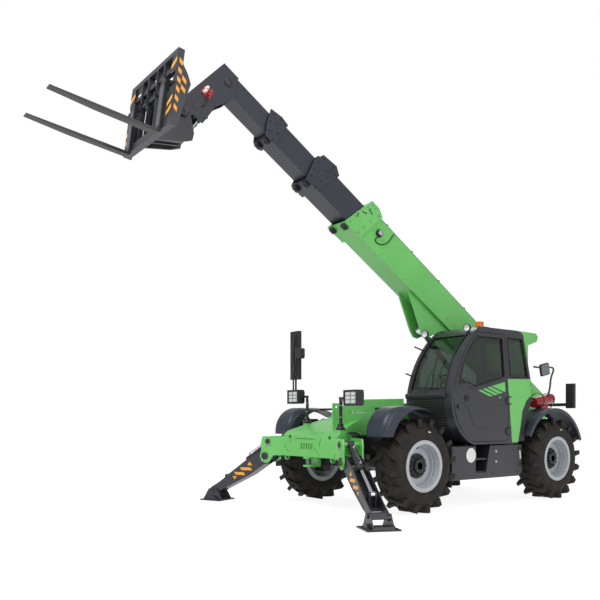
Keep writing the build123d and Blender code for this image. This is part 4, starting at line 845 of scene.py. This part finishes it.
def boomPipes():
    # extension hoses in their steel guides, laid on the sections' top plates
    for name, body, start, end, v, y, radius in (
        ("pipeTwo", "section_2", 3.5, 4.37, 0.2065, 0.06, 0.0105),
        ("pipeThree", "section_3", 4.3, 5.36, 0.168, 0.045, 0.0095),
        ("pipeFour", "section_4", 5.05, 6.16, 0.134, 0.03, 0.008),
    ):
        tube(name, [boomPoint(u, v, y) for u in (start, start + 0.02, end - 0.02, end)], radius, rubberSeal,
             body)
    fitting = shaft((0.0, 0.014), (0.03, 0.014), (0.034, 0.0115), (0.075, 0.0115), (0.08, 0.015),
                    (0.1, 0.015), end=0.102)
    start = boomPoint(4.86, 0.172, 0.045)
    turned("pipeFitting", [(fitting, axisFrame(start, boomPoint(5, 0.172, 0.045) - start))], steelZinc, 20,
           "section_3")
    # black pipes along the base section's upper edges, with their clips
    for side in (1, -1):
        line = ((0.25, 0.253), (0.3, 0.253), (3.35, 0.253), (3.44, 0.255))
        tube("basePipe_%d" % (side + 1), [boomPoint(u, v, side * 0.14) for u, v in line], 0.012, rubberSeal,
             "boom")
    spots = [(u, side) for u in (0.6, 1.3, 2.0, 2.7, 3.3) for side in (1, -1)]
    clip = rectangle(0, 0, 0.03, 0.03)
    plate("basePipeClips", [(clip, boomFrame(u, 0.252, side * 0.14 + 0.02), 0.04) for u, side in spots],
          paintBlack, 0.002, "boom")
    # plugs in the base section's sides, where the pads inside are adjusted
    spots = ((1.56, -0.12), (1.39, -0.13), (2.6, -0.16), (2.9, 0.16), (3.2, -0.17), (0.5, 0.05), (0.9, 0.12))
    plugs = [(boomPoint(u, v, side * 0.165), (0, side, 0)) for side in (1, -1) for u, v in spots]
    bolts("basePlugs", plugs, paintGreen, 0.028, 0.006, "boom")


def boomLamp():
    # small work lamp on the base section's side with its looped cable, clipped to the plate
    u, v, y = 3.38, 0.03, 0.165
    plate("boomLampBody", [(roundedBox(0.1, 0.085, 0.02), boomFrame(u, v, y + 0.045), 0.046)], plasticBlack,
          0.006, "boom")
    plate("boomLampLens", [(roundedBox(0.07, 0.058, 0.014), boomFrame(u, v, y + 0.049), 0.006)],
          reflectorBright, 0.002, "boom")
    line = [boomPoint(u - 0.02, v - 0.035, y + 0.02)]
    line += [boomPoint(u + du, v + dv, y + 0.006) for du, dv in
             ((0.02, -0.1), (-0.02, -0.15), (-0.14, -0.1), (-0.22, 0.02), (-0.23, 0.15))]
    tube("boomLampCable", line + [boomPoint(u - 0.25, 0.235, y + 0.006)], 0.0075, rubberSeal, "boom")


def headTrim():
    # quick couplings and their bracket, service covers, pin bosses and a hose on the boom head's side
    y, body = 0.13, "section_4"
    plate("couplingPlate", [(roundedBox(0.13, 0.11, 0.012), boomFrame(6.44, -0.36, y + 0.012), 0.013)],
          paintRed, 0.003, body)
    cap = shaft((0.0, 0.02), (0.016, 0.02), (0.02, 0.016), (0.034, 0.016), (0.037, 0.019), (0.05, 0.019),
                end=0.052)
    for name, u, material in (("couplingCaps", 6.475, paintWhite), ("couplingCapsRed", 6.415, paintRed)):
        caps = [(cap, axisFrame(boomPoint(u, v, y + 0.011), (0, 1, 0))) for v in (-0.335, -0.385)]
        turned(name, caps, material, 20, body)
    boss = shaft((0.0, 0.055), (0.012, 0.055), (0.02, 0.045), (0.026, 0.03))
    pivot = shaft((0.0, 0.07), (0.01, 0.07), (0.016, 0.062), (0.016, 0.02), end=0.01)
    for side in (1, -1):
        stand = skin(y, 0.0065, side)
        covers = [(disc(0, 0, 0.062, 6), boomFrame(6.48, -0.585, stand), 0.0065),
                  (disc(0, 0, 0.03, 24), boomFrame(6.3, -0.62, stand), 0.0065)]
        plate("headCover_%d" % (side + 1), covers, paintDark, 0.002, body)
        outward = (0, side, 0)
        for name, profile, at, steps in (("headBoss", boss, boomPoint(6.29, -0.02, side * (y - 0.001)), 28),
                                         ("tiltPinCap", pivot, boomPoint(6.56, -0.8, side * 0.182), 30)):
            turned("%s_%d" % (name, side + 1), [(profile, axisFrame(at, outward))], paintBlack, steps, body)
    line = ((6.4, -0.41, 0.016), (6.38, -0.5, 0.014), (6.4, -0.54, 0.014), (6.4, -0.56, -0.006))
    tube("headHose", [boomPoint(u, v, y + out) for u, v, out in line], 0.011, rubberSeal, body)
    seam = [(0.062, 0.0), (0.09, -0.305), (0.1, -0.305), (0.074, 0.0)]
    plate("headSeam", [(seam, boomFrame(6.2, -0.4, skin(y, 0.0045, side)), 0.0045) for side in (1, -1)],
          paintBlack, 0.001, body)


for name, collar in boomSet.items():
    collarTrim(name, collar)
boomPipes()
boomLamp()
headTrim()
print("boom trimmed")


# ---- fork carriage: hazard boards, bolts, shank plates ----

def hazardBars(x0, x1, z0, z1, lean):
    # slanted bars across a strip, each inside it
    pitch, wide = 0.105, 0.05
    bars = []
    z = z0 - lean
    while z < z1:
        if z >= z0 and z + lean + wide <= z1:
            bars.append([(x0, z), (x1, z + lean), (x1, z + lean + wide), (x0, z + wide)])
        z += pitch
    return bars


def carriageTrim():
    boards, bars = [], []
    for side in (1, -1):
        # boards just behind the forks' way, and tape on the side plates
        front = carriageFront(-0.0385, side * 0.545)
        for low, high in ((0.1, 0.48), (0.64, 0.86)):
            boards.append((rectangle(0, (low + high) / 2, 0.12, high - low), front, -0.02))
            bars += [(bar, front, 0.0006) for bar in hazardBars(-0.056, 0.056, low + 0.01, high - 0.01, 0.06)]
        face = carriageFrame(0, 0, 0.6061 if side > 0 else -0.6053)
        for strip in ((-0.112, -0.068, 0.12, 0.84, 0.035), (-0.18, -0.125, 0.36, 0.64, 0.04)):
            bars += [(bar, face, 0.0008) for bar in hazardBars(*strip)]
    plate("hazardBoards", boards, paintBlack, 0.001, "fork_carriage")
    plate("hazardBars", bars, paintAmber, 0, "fork_carriage")
    spots = ((-0.14, 0.6), (-0.14, 0.48), (-0.14, 0.2), (-0.2, 0.66))
    heads = [(carriageFrame(x, z, side * 0.163).translation, (0, side, 0)) for side in (1, -1)
             for x, z in spots]
    bolts("carriageBolts", heads, paintBlack, 0.022, 0.009, "fork_carriage")
    # painted highlight: the shanks' whole front faces are made a lighter grey
    shank = rectangle(0, 0.29, 0.092, 0.46)
    for name, side in sides:
        plate("shankHighlight_" + name, [(shank, carriageFront(0.0058, side * 0.4), 0.0012)], paintShankHighlight, 0.0004,
              name + "_fork")


carriageTrim()
print("carriage trimmed")


# ---- cab: door, panels, cowl, windscreen, roof ----

cabSet = {"doorFace": 1.0985, "panelFace": 1.106, "boxFace": 1.0795}


def doorTrim():
    # green slats, raised sill band under the window, and the pressed lines lower down
    slats = [[(0.255, 1.634), (0.185, 1.641), (-0.07, 1.562), (0.005, 1.55)],
             [(0.155, 1.656), (0.085, 1.668), (-0.19, 1.585), (-0.105, 1.57)],
             [(0.05, 1.68), (-0.02, 1.694), (-0.3, 1.612), (-0.21, 1.592)],
             [(-0.055, 1.702), (-0.365, 1.769), (-0.365, 1.63), (-0.335, 1.622)]]
    sill = [(0.64, 1.715), (0.43, 1.725), (0.31, 1.67), (-0.37, 1.825), (-0.37, 1.79), (0.31, 1.632),
            (0.45, 1.688), (0.655, 1.678)]
    crease = [(0.455, 1.378), (0.336, 1.133), (0.255, 1.096), (-0.075, 1.12), (-0.075, 1.112), (0.257, 1.086),
              (0.342, 1.126), (0.465, 1.376)]
    upper = [(0.6, 1.47), (0.45, 1.384), (-0.42, 1.44), (-0.42, 1.432), (0.452, 1.374), (0.604, 1.462)]
    body = "door_leaf"
    plate("doorSlats", [(overWaist(slat), cabSideFrame(0.004), 0.005) for slat in slats], paintGreen, 0.001,
          body)
    plate("doorSill", [(overWaist(sill), cabSideFrame(0.009), 0.01)], paintDark, 0.004, body)
    plate("doorCrease", [(crease, sideFrame(0, 0, 0, 1.104), 0.0045)], paintSlate, 0.0015, body)
    plate("doorCreaseUpper", [(upper, sideFrame(0, 0, 0, 1.103), 0.0035)], paintDark, 0.0015, body)
    # pull handle in its dished plate, and the lock
    dish = shaft((0.0, 0.058), (0.004, 0.058), (0.006, 0.05), (0.003, 0.044))
    turned("handleDish", [(dish, axisFrame((0.5, cabSet["doorFace"], 1.52), (0, 1, 0)))], plasticBlack, 36,
           body)
    plate("handlePull", [(roundedBox(0.085, 0.028, 0.012), sideFrame(0.5, 1.52, -12, 1.12), 0.014)],
          plasticBlack, 0.004, body)
    lock = shaft((0.0, 0.016), (0.006, 0.016), (0.009, 0.012))
    turned("doorLock", [(lock, axisFrame((-0.224, cabSet["doorFace"], 1.541), (0, 1, 0)))], steelZinc, 20,
           body)
    # slim rail along the frame's curved front
    rail = ((0.62, 1.018, 2.02), (0.72, 1.062, 1.78), (0.768, 1.094, 1.56), (0.762, 1.099, 1.44),
            (0.72, 1.099, 1.28), (0.64, 1.099, 1.13), (0.52, 1.099, 0.99), (0.4, 1.099, 0.925))
    tube("doorEdgeRail", rail, 0.009, paintSlate, body)


def arcPoints(start, middle, end, count):
    # points on the arc through three places in the side view
    (ax, az), (bx, bz), (cx, cz) = start, middle, end
    d = 2 * (ax * (bz - cz) + bx * (cz - az) + cx * (az - bz))
    a, b, c = ax * ax + az * az, bx * bx + bz * bz, cx * cx + cz * cz
    ux = (a * (bz - cz) + b * (cz - az) + c * (az - bz)) / d
    uz = (a * (cx - bx) + b * (ax - cx) + c * (bx - ax)) / d
    radius = math.hypot(ax - ux, az - uz)
    first, last = (math.atan2(z - uz, x - ux) for x, z in (start, end))
    turns = [first + (last - first) * i / count for i in range(count + 1)]
    return [(ux + radius * math.cos(turn), uz + radius * math.sin(turn)) for turn in turns]


def cabPanels():
    # green corner panel behind the door, and the black arch strip behind it
    low = [(-0.438, 1.56), (-0.975, 1.56), (-0.86, 1.505), (-0.76, 1.34), (-0.715, 1.12), (-0.655, 0.885),
           (-0.51, 0.885)]
    high = [(-0.438, 1.56), (-0.438, 1.815), (-0.985, 1.832), (-0.985, 1.56)]
    strip = [(-0.94, 1.56), (-0.86, 1.505), (-0.76, 1.34), (-0.715, 1.12), (-0.66, 0.9), (-0.8, 0.9),
             (-0.83, 1.15), (-0.9, 1.36), (-0.985, 1.5), (-0.985, 1.56)]
    ledge = [(0.78, 1.5), (0.845, 1.515), (0.868, 1.55), (0.866, 1.585), (0.84, 1.6), (0.79, 1.6)]
    plate("cornerPanelLow", [(low, sideFrame(0, 0, 0, cabSet["panelFace"]), 0.0065)], paintGreen)
    plate("cornerPanelHigh", [(overWaist(high), cabSideFrame(0.0055), 0.006)], paintGreen)
    plate("archStrip", [(strip, sideFrame(0, 0, 0, cabSet["panelFace"] + 0.003), 0.03)], plasticBlack)
    # ledge below the windscreen, and the louvred cowl under it
    plate("windscreenLedge", [(ledge, sideFrame(0, 0, 0, 1.01), 0.725)], paintDark, 0.006)
    cowl = arcPoints((0.815, 1.56), (0.706, 1.125), (0.35, 0.87), 24)
    ribs = []
    for (x, z), (nextX, nextZ) in zip(cowl[2:17], cowl[3:18]):
        slope = math.degrees(math.atan2(nextZ - z, nextX - x))
        ribs.append((rectangle(0, 0.004, 0.022, 0.02), sideFrame(x, z, slope, 0.96), 0.62))
    plate("cowlLouvres", ribs, paintBlack, 0.003)


def cabGlazing():
    # rubber beads beside the windscreen
    screen = arcPoints((0.24, 2.485), (0.615, 2.08), (0.815, 1.56), 20)
    for name, y, lean in (("screenSeal_3", 0.335, 0), ("screenSeal_9", 0.975, 0.05)):
        tube(name, [(x + 0.004, y - lean * max(0, z - placeSet["waist"]), z) for x, z in screen[::2]], 0.012,
             rubberSeal)
    # roof dome and rails
    dome = shaft((0.0, 0.17), (0.02, 0.168), (0.045, 0.14), (0.062, 0.09), (0.068, 0.03))
    turned("roofDome", [(dome, axisFrame((-0.25, 0.75, 2.535), (0, 0, 1)))], plasticBlack, 40, "chassis", 40)
    rail = roundedBox(0.95, 0.035, 0.015)
    plate("roofRails", [(rail, shift(-0.33, y, 2.532), 0.022) for y in (0.33, 0.99)], paintDark, 0.004)
    # seals round the side windows
    window = [(0.64, 1.735), (0.43, 1.745), (0.31, 1.69), (-0.37, 1.845), (-0.37, 2.41), (0.185, 2.41)]
    window += arcPoints((0.185, 2.41), (0.47, 2.09), (0.64, 1.735), 10)[1:-1]
    quarter = [(-0.935, 1.85), (-0.505, 1.85), (-0.505, 2.43), (-0.85, 2.43)]
    for name, outline, body in (("doorGlassSeal", window, "door_leaf"),
                                ("quarterGlassSeal", quarter, "chassis")):
        ring = [cabSideFrame() @ Vector((x, z, -0.002)) for x, z in overWaist(outline)]
        tube(name, ring + [ring[0]], 0.009, rubberSeal, body, False)
    # wiper arm and blade, stand-offs on the windscreen's far edge, grip beside the door
    tube("wiperArm", [(0.84, 0.62, 1.6), (0.85, 0.64, 1.66), (0.79, 0.7, 1.88), (0.735, 0.74, 1.98)], 0.0075,
         paintBlack)
    tube("wiperBlade", [(0.835, 0.76, 1.66), (0.79, 0.75, 1.84), (0.725, 0.735, 2.02), (0.64, 0.72, 2.2)],
         0.0085, rubberSeal)
    for i, (x, z) in enumerate(((0.62, 2.277), (0.8, 1.877))):
        stud = ((x - 0.2, 0.32, z - 0.06), (x - 0.05, 0.29, z - 0.02), (x + 0.03, 0.272, z + 0.012))
        tube("screenStud_%d" % i, stud, 0.011, paintBlack)
    tube("cabGrip", [(0.62, 0.985, 1.86), (0.67, 1.01, 1.9), (0.66, 1.01, 2.0), (0.585, 0.98, 2.05)], 0.011,
         paintBlack)


def roofLights():
    bowl = shaft((0.0, 0.028), (0.018, 0.046), (0.04, 0.056), (0.06, 0.058), (0.064, 0.054), (0.058, 0.05),
                 end=0.054)
    lens = shaft((0.055, 0.051), (0.062, 0.047), (0.068, 0.03), end=0.07)
    for i, (x, y, z) in enumerate(((0.3, 0.95, 2.53), (0.46, 0.31, 2.49))):
        at = axisFrame((x - 0.04, y, z), (1, 0, -0.08))
        turned("roofLamp_%d" % i, [(bowl, at)], plasticBlack, 32)
        turned("roofLampLens_%d" % i, [(lens, at)], reflectorBright, 32)
        stalk = ((x - 0.02, y, z - 0.04), (x - 0.03, y, z - 0.08), (x - 0.06, y, z - 0.12),
                 (x - 0.11, y, z - 0.15))
        tube("roofLampStalk_%d" % i, stalk, 0.016, paintBlack)
    # beacon on a short stem so that it stands clear of the roof, with a ribbed amber lens
    base = shaft((0.0, 0.078), (0.014, 0.078), (0.02, 0.066), (0.107, 0.064), (0.118, 0.07), end=0.122)
    turned("beaconBase", [(base, axisFrame((-0.64, 0.42, 2.541), (0, 0, 1)))], plasticBlack, 36)
    lens = [(0.018, 0.0625)] + [(0.02 + 0.0055 * i, 0.067 if i % 2 else 0.0645) for i in range(13)]
    lens += [(0.096, 0.062), (0.103, 0.045), (0.106, sunk), (0.018, sunk)]
    turned("beaconLens", [(lens, axisFrame((-0.64, 0.42, 2.645), (0, 0, 1)))], lensAmber, 40, "chassis", 60)


def stepTrim():
    # treads in the recess, caps and slot lamp on the box, blank white disc
    face, outward = cabSet["boxFace"], (0, 1, 0)
    treads = []
    for z, x0, x1 in ((0.475, 0.065, 0.28), (0.66, 0.03, 0.28)):
        middle = (x0 + x1) / 2
        treads.append((rectangle(middle, z, x1 - x0, 0.022), sideFrame(0, 0, 0, 1.066), 0.26))
        ridge = rectangle(middle, z + 0.013, x1 - x0 - 0.02, 0.007)
        treads += [(ridge, sideFrame(0, 0, 0, 1.055 - 0.04 * k), 0.012) for k in range(6)]
    plate("stepTreads", treads, paintBlack, 0.0015)
    plate("stepBack", [([(0.06, 0.47), (0.283, 0.47), (0.283, 0.85), (-0.03, 0.85)], sideFrame(0, 0, 0, 0.8),
                        0.01)],
          paintBlack, 0)
    cap = shaft((0.0, 0.021), (0.006, 0.021), (0.009, 0.016))
    turned("boxCaps", [(cap, axisFrame((-0.168, 1.079, z), outward)) for z in (0.763, 0.618)], steelZinc, 24)
    plate("slotLamp", [(roundedBox(0.022, 0.13, 0.01), sideFrame(-0.735, 0.7, -6, 1.086), 0.008)], paintWhite)
    at = axisFrame((0.389, face, 0.722), outward)
    turned("whiteDisc", [(shaft((0.0, 0.106), (0.0022, 0.106), (0.0028, 0.104)), at)], paintWhite, 48)
    turned("whiteDiscRim", [([(0.0, 0.103), (0.0, 0.109), (0.0036, 0.109), (0.0036, 0.103)], at)], paintBlack,
           48)
    # panel joints and screws of the side boxes
    joints = ((0.783, 0.62, 0.006, 0.44), (-0.4, 0.83, 0.72, 0.006), (0.535, 0.595, 0.48, 0.006),
              (0.535, 0.83, 0.48, 0.006))
    plate("boxSeams", [(rectangle(*joint), sideFrame(0, 0, 0, face + 0.002), 0.003) for joint in joints],
          paintSlate, 0.001)
    spots = ((-0.1, 0.8), (-0.1, 0.45), (-0.7, 0.8), (-0.66, 0.45), (0.32, 0.42), (0.75, 0.42), (0.75, 0.8))
    bolts("boxScrews", [((x, 1.08, z), outward) for x, z in spots], paintBlack, 0.015, 0.006)


doorTrim()
cabPanels()
cabGlazing()
roofLights()
stepTrim()
print("cab trimmed")


# ---- driver's seat and what is seen through the glass ----

def cushion(edit, width, depth, height, place, channels):
    # padded block: sides pull in between the corners, the top crowns, pleat channels run along it
    steps = 28
    grid, base = [], []
    for i in range(steps + 1):
        row, under = [], []
        for j in range(steps + 1):
            s, t = i / steps * 2 - 1, j / steps * 2 - 1
            x = s * width / 2 * (1 - 0.05 * (1 - t * t) * abs(s))
            y = t * depth / 2 * (1 - 0.05 * (1 - s * s) * abs(t))
            edge = max(abs(s), abs(t))
            crown = height * (0.72 + 0.28 * (1 - s * s) * (1 - t * t)) * (1 - max(0, edge - 0.88) ** 2 * 18)
            crease = sum(0.09 * height * math.exp(-((t * depth / 2 - c) / 0.008) ** 2) for c in channels)
            row.append(edit.verts.new(place @ Vector((x, y, crown - crease * (1 - abs(s) ** 6)))))
            under.append(place @ Vector((s * width / 2 * 0.97, t * depth / 2 * 0.97, 0)))
        grid.append(row)
        base.append(under)
    base = [[edit.verts.new(point) for point in row] for row in base]
    for i in range(steps):
        for j in range(steps):
            edit.faces.new((grid[i][j], grid[i + 1][j], grid[i + 1][j + 1], grid[i][j + 1]))
            edit.faces.new((base[i][j], base[i][j + 1], base[i + 1][j + 1], base[i + 1][j]))
    for k in range(steps):
        edit.faces.new((grid[k][0], base[k][0], base[k + 1][0], grid[k + 1][0]))
        edit.faces.new((grid[k + 1][steps], base[k + 1][steps], base[k][steps], grid[k][steps]))
        edit.faces.new((grid[0][k + 1], base[0][k + 1], base[0][k], grid[0][k]))
        edit.faces.new((grid[steps][k], base[steps][k], base[steps][k + 1], grid[steps][k + 1]))
    rim = [row[0] for row in grid] + grid[steps][1:]
    rim += [row[steps] for row in grid[-2::-1]] + grid[0][-2:0:-1]
    return [corner.co.copy() for corner in rim]


def addSeat():
    low, high = fromAxles(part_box("seat"))
    middle = (low + high) / 2
    span = high - low
    edit = bmesh.new()
    flat = shift(middle.x + span.x * 0.08, middle.y, low.z + span.z * 0.18)
    rims = [cushion(edit, span.x * 0.8, span.y * 0.96, 0.13, flat, (-0.12, 0.0, 0.12))]
    # the backrest leans a little; its local z points forward
    lean = shift(low.x + span.x * 0.06, middle.y, low.z + span.z * 0.62)
    lean = lean @ Matrix.Rotation(math.radians(82), 4, "Y")
    rims.append(cushion(edit, span.z * 0.68, span.y * 0.92, 0.12, lean, (-0.1, 0.0, 0.1)))
    piece = finishPiece("seatCushions", edit, clothSeat, "chassis", 50)
    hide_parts("seat")
    for i, rim in enumerate(rims):
        tube("seatPiping_%d" % i, rim[::2] + [rim[0]], 0.006, rubberSeal)


def cabFittings():
    # steering wheel with column, and two levers
    hub = Vector((0.26, 0.66, 1.78))
    tilt = Vector((-0.45, 0, 0.9)).normalized()
    at = axisFrame(hub, tilt)
    tube("steeringRim", [spoke(at, 0, 0.19, i * math.pi / 12) for i in range(25)], 0.016, plasticBlack)
    turned("steeringBoss", [(shaft((0.0, 0.05), (0.02, 0.045), (0.03, 0.03), end=0.032), at)], plasticBlack,
           28)
    for k in range(3):
        end = spoke(at, 0, 0.185, k * 2 * math.pi / 3 + 0.5)
        tube("steeringSpoke_%d" % k, [hub, hub.lerp(end, 0.5), end], 0.011, plasticBlack)
    column = [hub, hub - tilt * 0.2, hub - tilt * 0.42 + Vector((0.04, 0, -0.02))]
    tube("steeringColumn", column, 0.034, plasticBlack)
    for k, y in enumerate((0.37, 0.42)):
        tube("lever_%d" % k, [(0.06, y, 1.42), (0.08, y, 1.55), (0.07, y, 1.66)], 0.012, plasticBlack)


addSeat()
cabFittings()
print("cab furnished")


# ---- rear: mirror, extinguisher, lamps, pod ----

def rearTrim():
    # mirror on its tube frame beside the tower
    line = ((-1.625, 0.93, 1.5), (-1.625, 1.0, 1.681), (-1.642, 1.0, 1.872), (-1.75, 1.0, 2.03),
            (-1.6, 1.0, 2.045), (-1.45, 1.0, 2.02), (-1.2, 1.0, 2.03))
    tube("rearFrame", line, 0.014, paintBlack)
    back = sideFrame(-1.48, 2.0, -12, 0.985)
    plate("rearMirror", [(roundedBox(0.23, 0.19, 0.03), back, -0.03)], plasticBlack, 0.006)
    plate("rearMirrorGlass", [(roundedBox(0.2, 0.16, 0.022), back @ shift(0, 0, -0.0305), -0.002)],
          silveredGlass, 0)
    # extinguisher: bands and valve
    low, high = fromAxles(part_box("extinguisher"))
    middle, radius = (low + high) / 2, (high.z - low.z) / 2
    band = [(0.0, radius - 0.001), (0.0, radius + 0.004), (0.03, radius + 0.004), (0.03, radius - 0.001)]
    bands = [(band, axisFrame((x, middle.y, middle.z), (1, 0, 0))) for x in (low.x + 0.1, high.x - 0.14)]
    turned("extinguisherBands", bands, paintBlack, 36)
    valve = shaft((0.0, 0.03), (0.02, 0.03), (0.024, 0.018), (0.05, 0.018), end=0.052)
    turned("extinguisherValve", [(valve, axisFrame((high.x - 0.003, middle.y, middle.z), (1, 0, 0)))],
           steelZinc, 24)
    # red lenses of the rear lamps
    rear = fromAxles(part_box("lamps"))[0].x
    for _, side in sides:
        at = facing((rear + 0.002, side * 1.0, 1.6), (-1, 0, 0))
        plate("rearLens_%d" % (side + 1), [(roundedBox(0.07, 0.05, 0.01), at, 0.005)], paintRed)
    low, high = fromAxles(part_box("pod_lid"))
    heads = [((x, (low.y + high.y) / 2, high.z), (0, 0, 1)) for x in (low.x + 0.1, high.x - 0.1)]
    bolts("podLidBolts", heads, paintBlack, 0.024, 0.01, "lid")


rearTrim()
print("rear trimmed")


# ---- floor, backdrop and lamps ----

studioSet = {"floorHalf": 80, "floorColour": "#F2F2F2", "floorGlow": 1.26, "glowShare": 0.7, "sky": 0.56,
             "aim": (1, 0, 1.8), "keyPower": 950, "fillPower": 420}


def whiteStage():
    # white to the camera, and to gloss and glass; only the shadow darkens it
    material, tree, output, _ = startMaterial("studio floor")
    ray = addNode(tree, "ShaderNodeLightPath").outputs
    seen = combine(tree, "MAXIMUM", ray["Is Camera Ray"], ray["Is Glossy Ray"])
    through = combine(tree, "MAXIMUM", seen, ray["Is Transmission Ray"])
    part = combine(tree, "MULTIPLY", through, studioSet["glowShare"])
    lit = addNode(tree, "ShaderNodeBsdfDiffuse", {"Color": linear(studioSet["floorColour"])})
    glow = addNode(tree, "ShaderNodeEmission", {"Strength": studioSet["floorGlow"]})
    blend = addNode(tree, "ShaderNodeMixShader", links={0: part, 1: lit.outputs[0], 2: glow.outputs[0]})
    tree.links.new(output, blend.outputs[0])
    return material


def addStage():
    half = studioSet["floorHalf"]
    mesh = bpy.data.meshes.new("floor")
    corners = [(-half, -half, -0.001), (half, -half, -0.001), (half, half, -0.001), (-half, half, -0.001)]
    mesh.from_pydata(corners, [], [(0, 1, 2, 3)])
    mesh.materials.append(whiteStage())
    floor = bpy.data.objects.new("floor", mesh)
    bpy.context.scene.collection.objects.link(floor)
    world = bpy.data.worlds.new("studio")
    world.use_nodes = True
    tree = world.node_tree
    tree.nodes.clear()
    output = addNode(tree, "ShaderNodeOutputWorld")
    ray = addNode(tree, "ShaderNodeLightPath").outputs
    seen = combine(tree, "MAXIMUM", ray["Is Camera Ray"], ray["Is Transmission Ray"])
    strength = addNode(tree, "ShaderNodeMix", {"data_type": "FLOAT", "A": studioSet["sky"], "B": 1.0},
                       {"Factor": seen})
    sky = addNode(tree, "ShaderNodeBackground", {"Color": (1, 1, 1, 1)}, {"Strength": strength.outputs[0]})
    tree.links.new(output.inputs["Surface"], sky.outputs[0])
    bpy.context.scene.world = world
    # large soft lamps: place, size, power
    for name, place, size, power in (
        ("keyLamp", (9, 1.5, 11), 7, studioSet["keyPower"]),
        ("fillLamp", (2, 12, 7), 8, studioSet["fillPower"]),
        ("backLamp", (-9, -7, 9), 8, studioSet["fillPower"]),
    ):
        data = bpy.data.lights.new(name, "AREA")
        data.shape = "DISK"
        data.size = size
        data.energy = power
        lamp = bpy.data.objects.new(name, data)
        lamp.location = Vector(place) - Vector((middleX, 0, 0))
        lamp.rotation_euler = (Vector(studioSet["aim"]) - Vector(place)).to_track_quat("-Z", "Y").to_euler()
        bpy.context.scene.collection.objects.link(lamp)


addStage()
print("stage set")
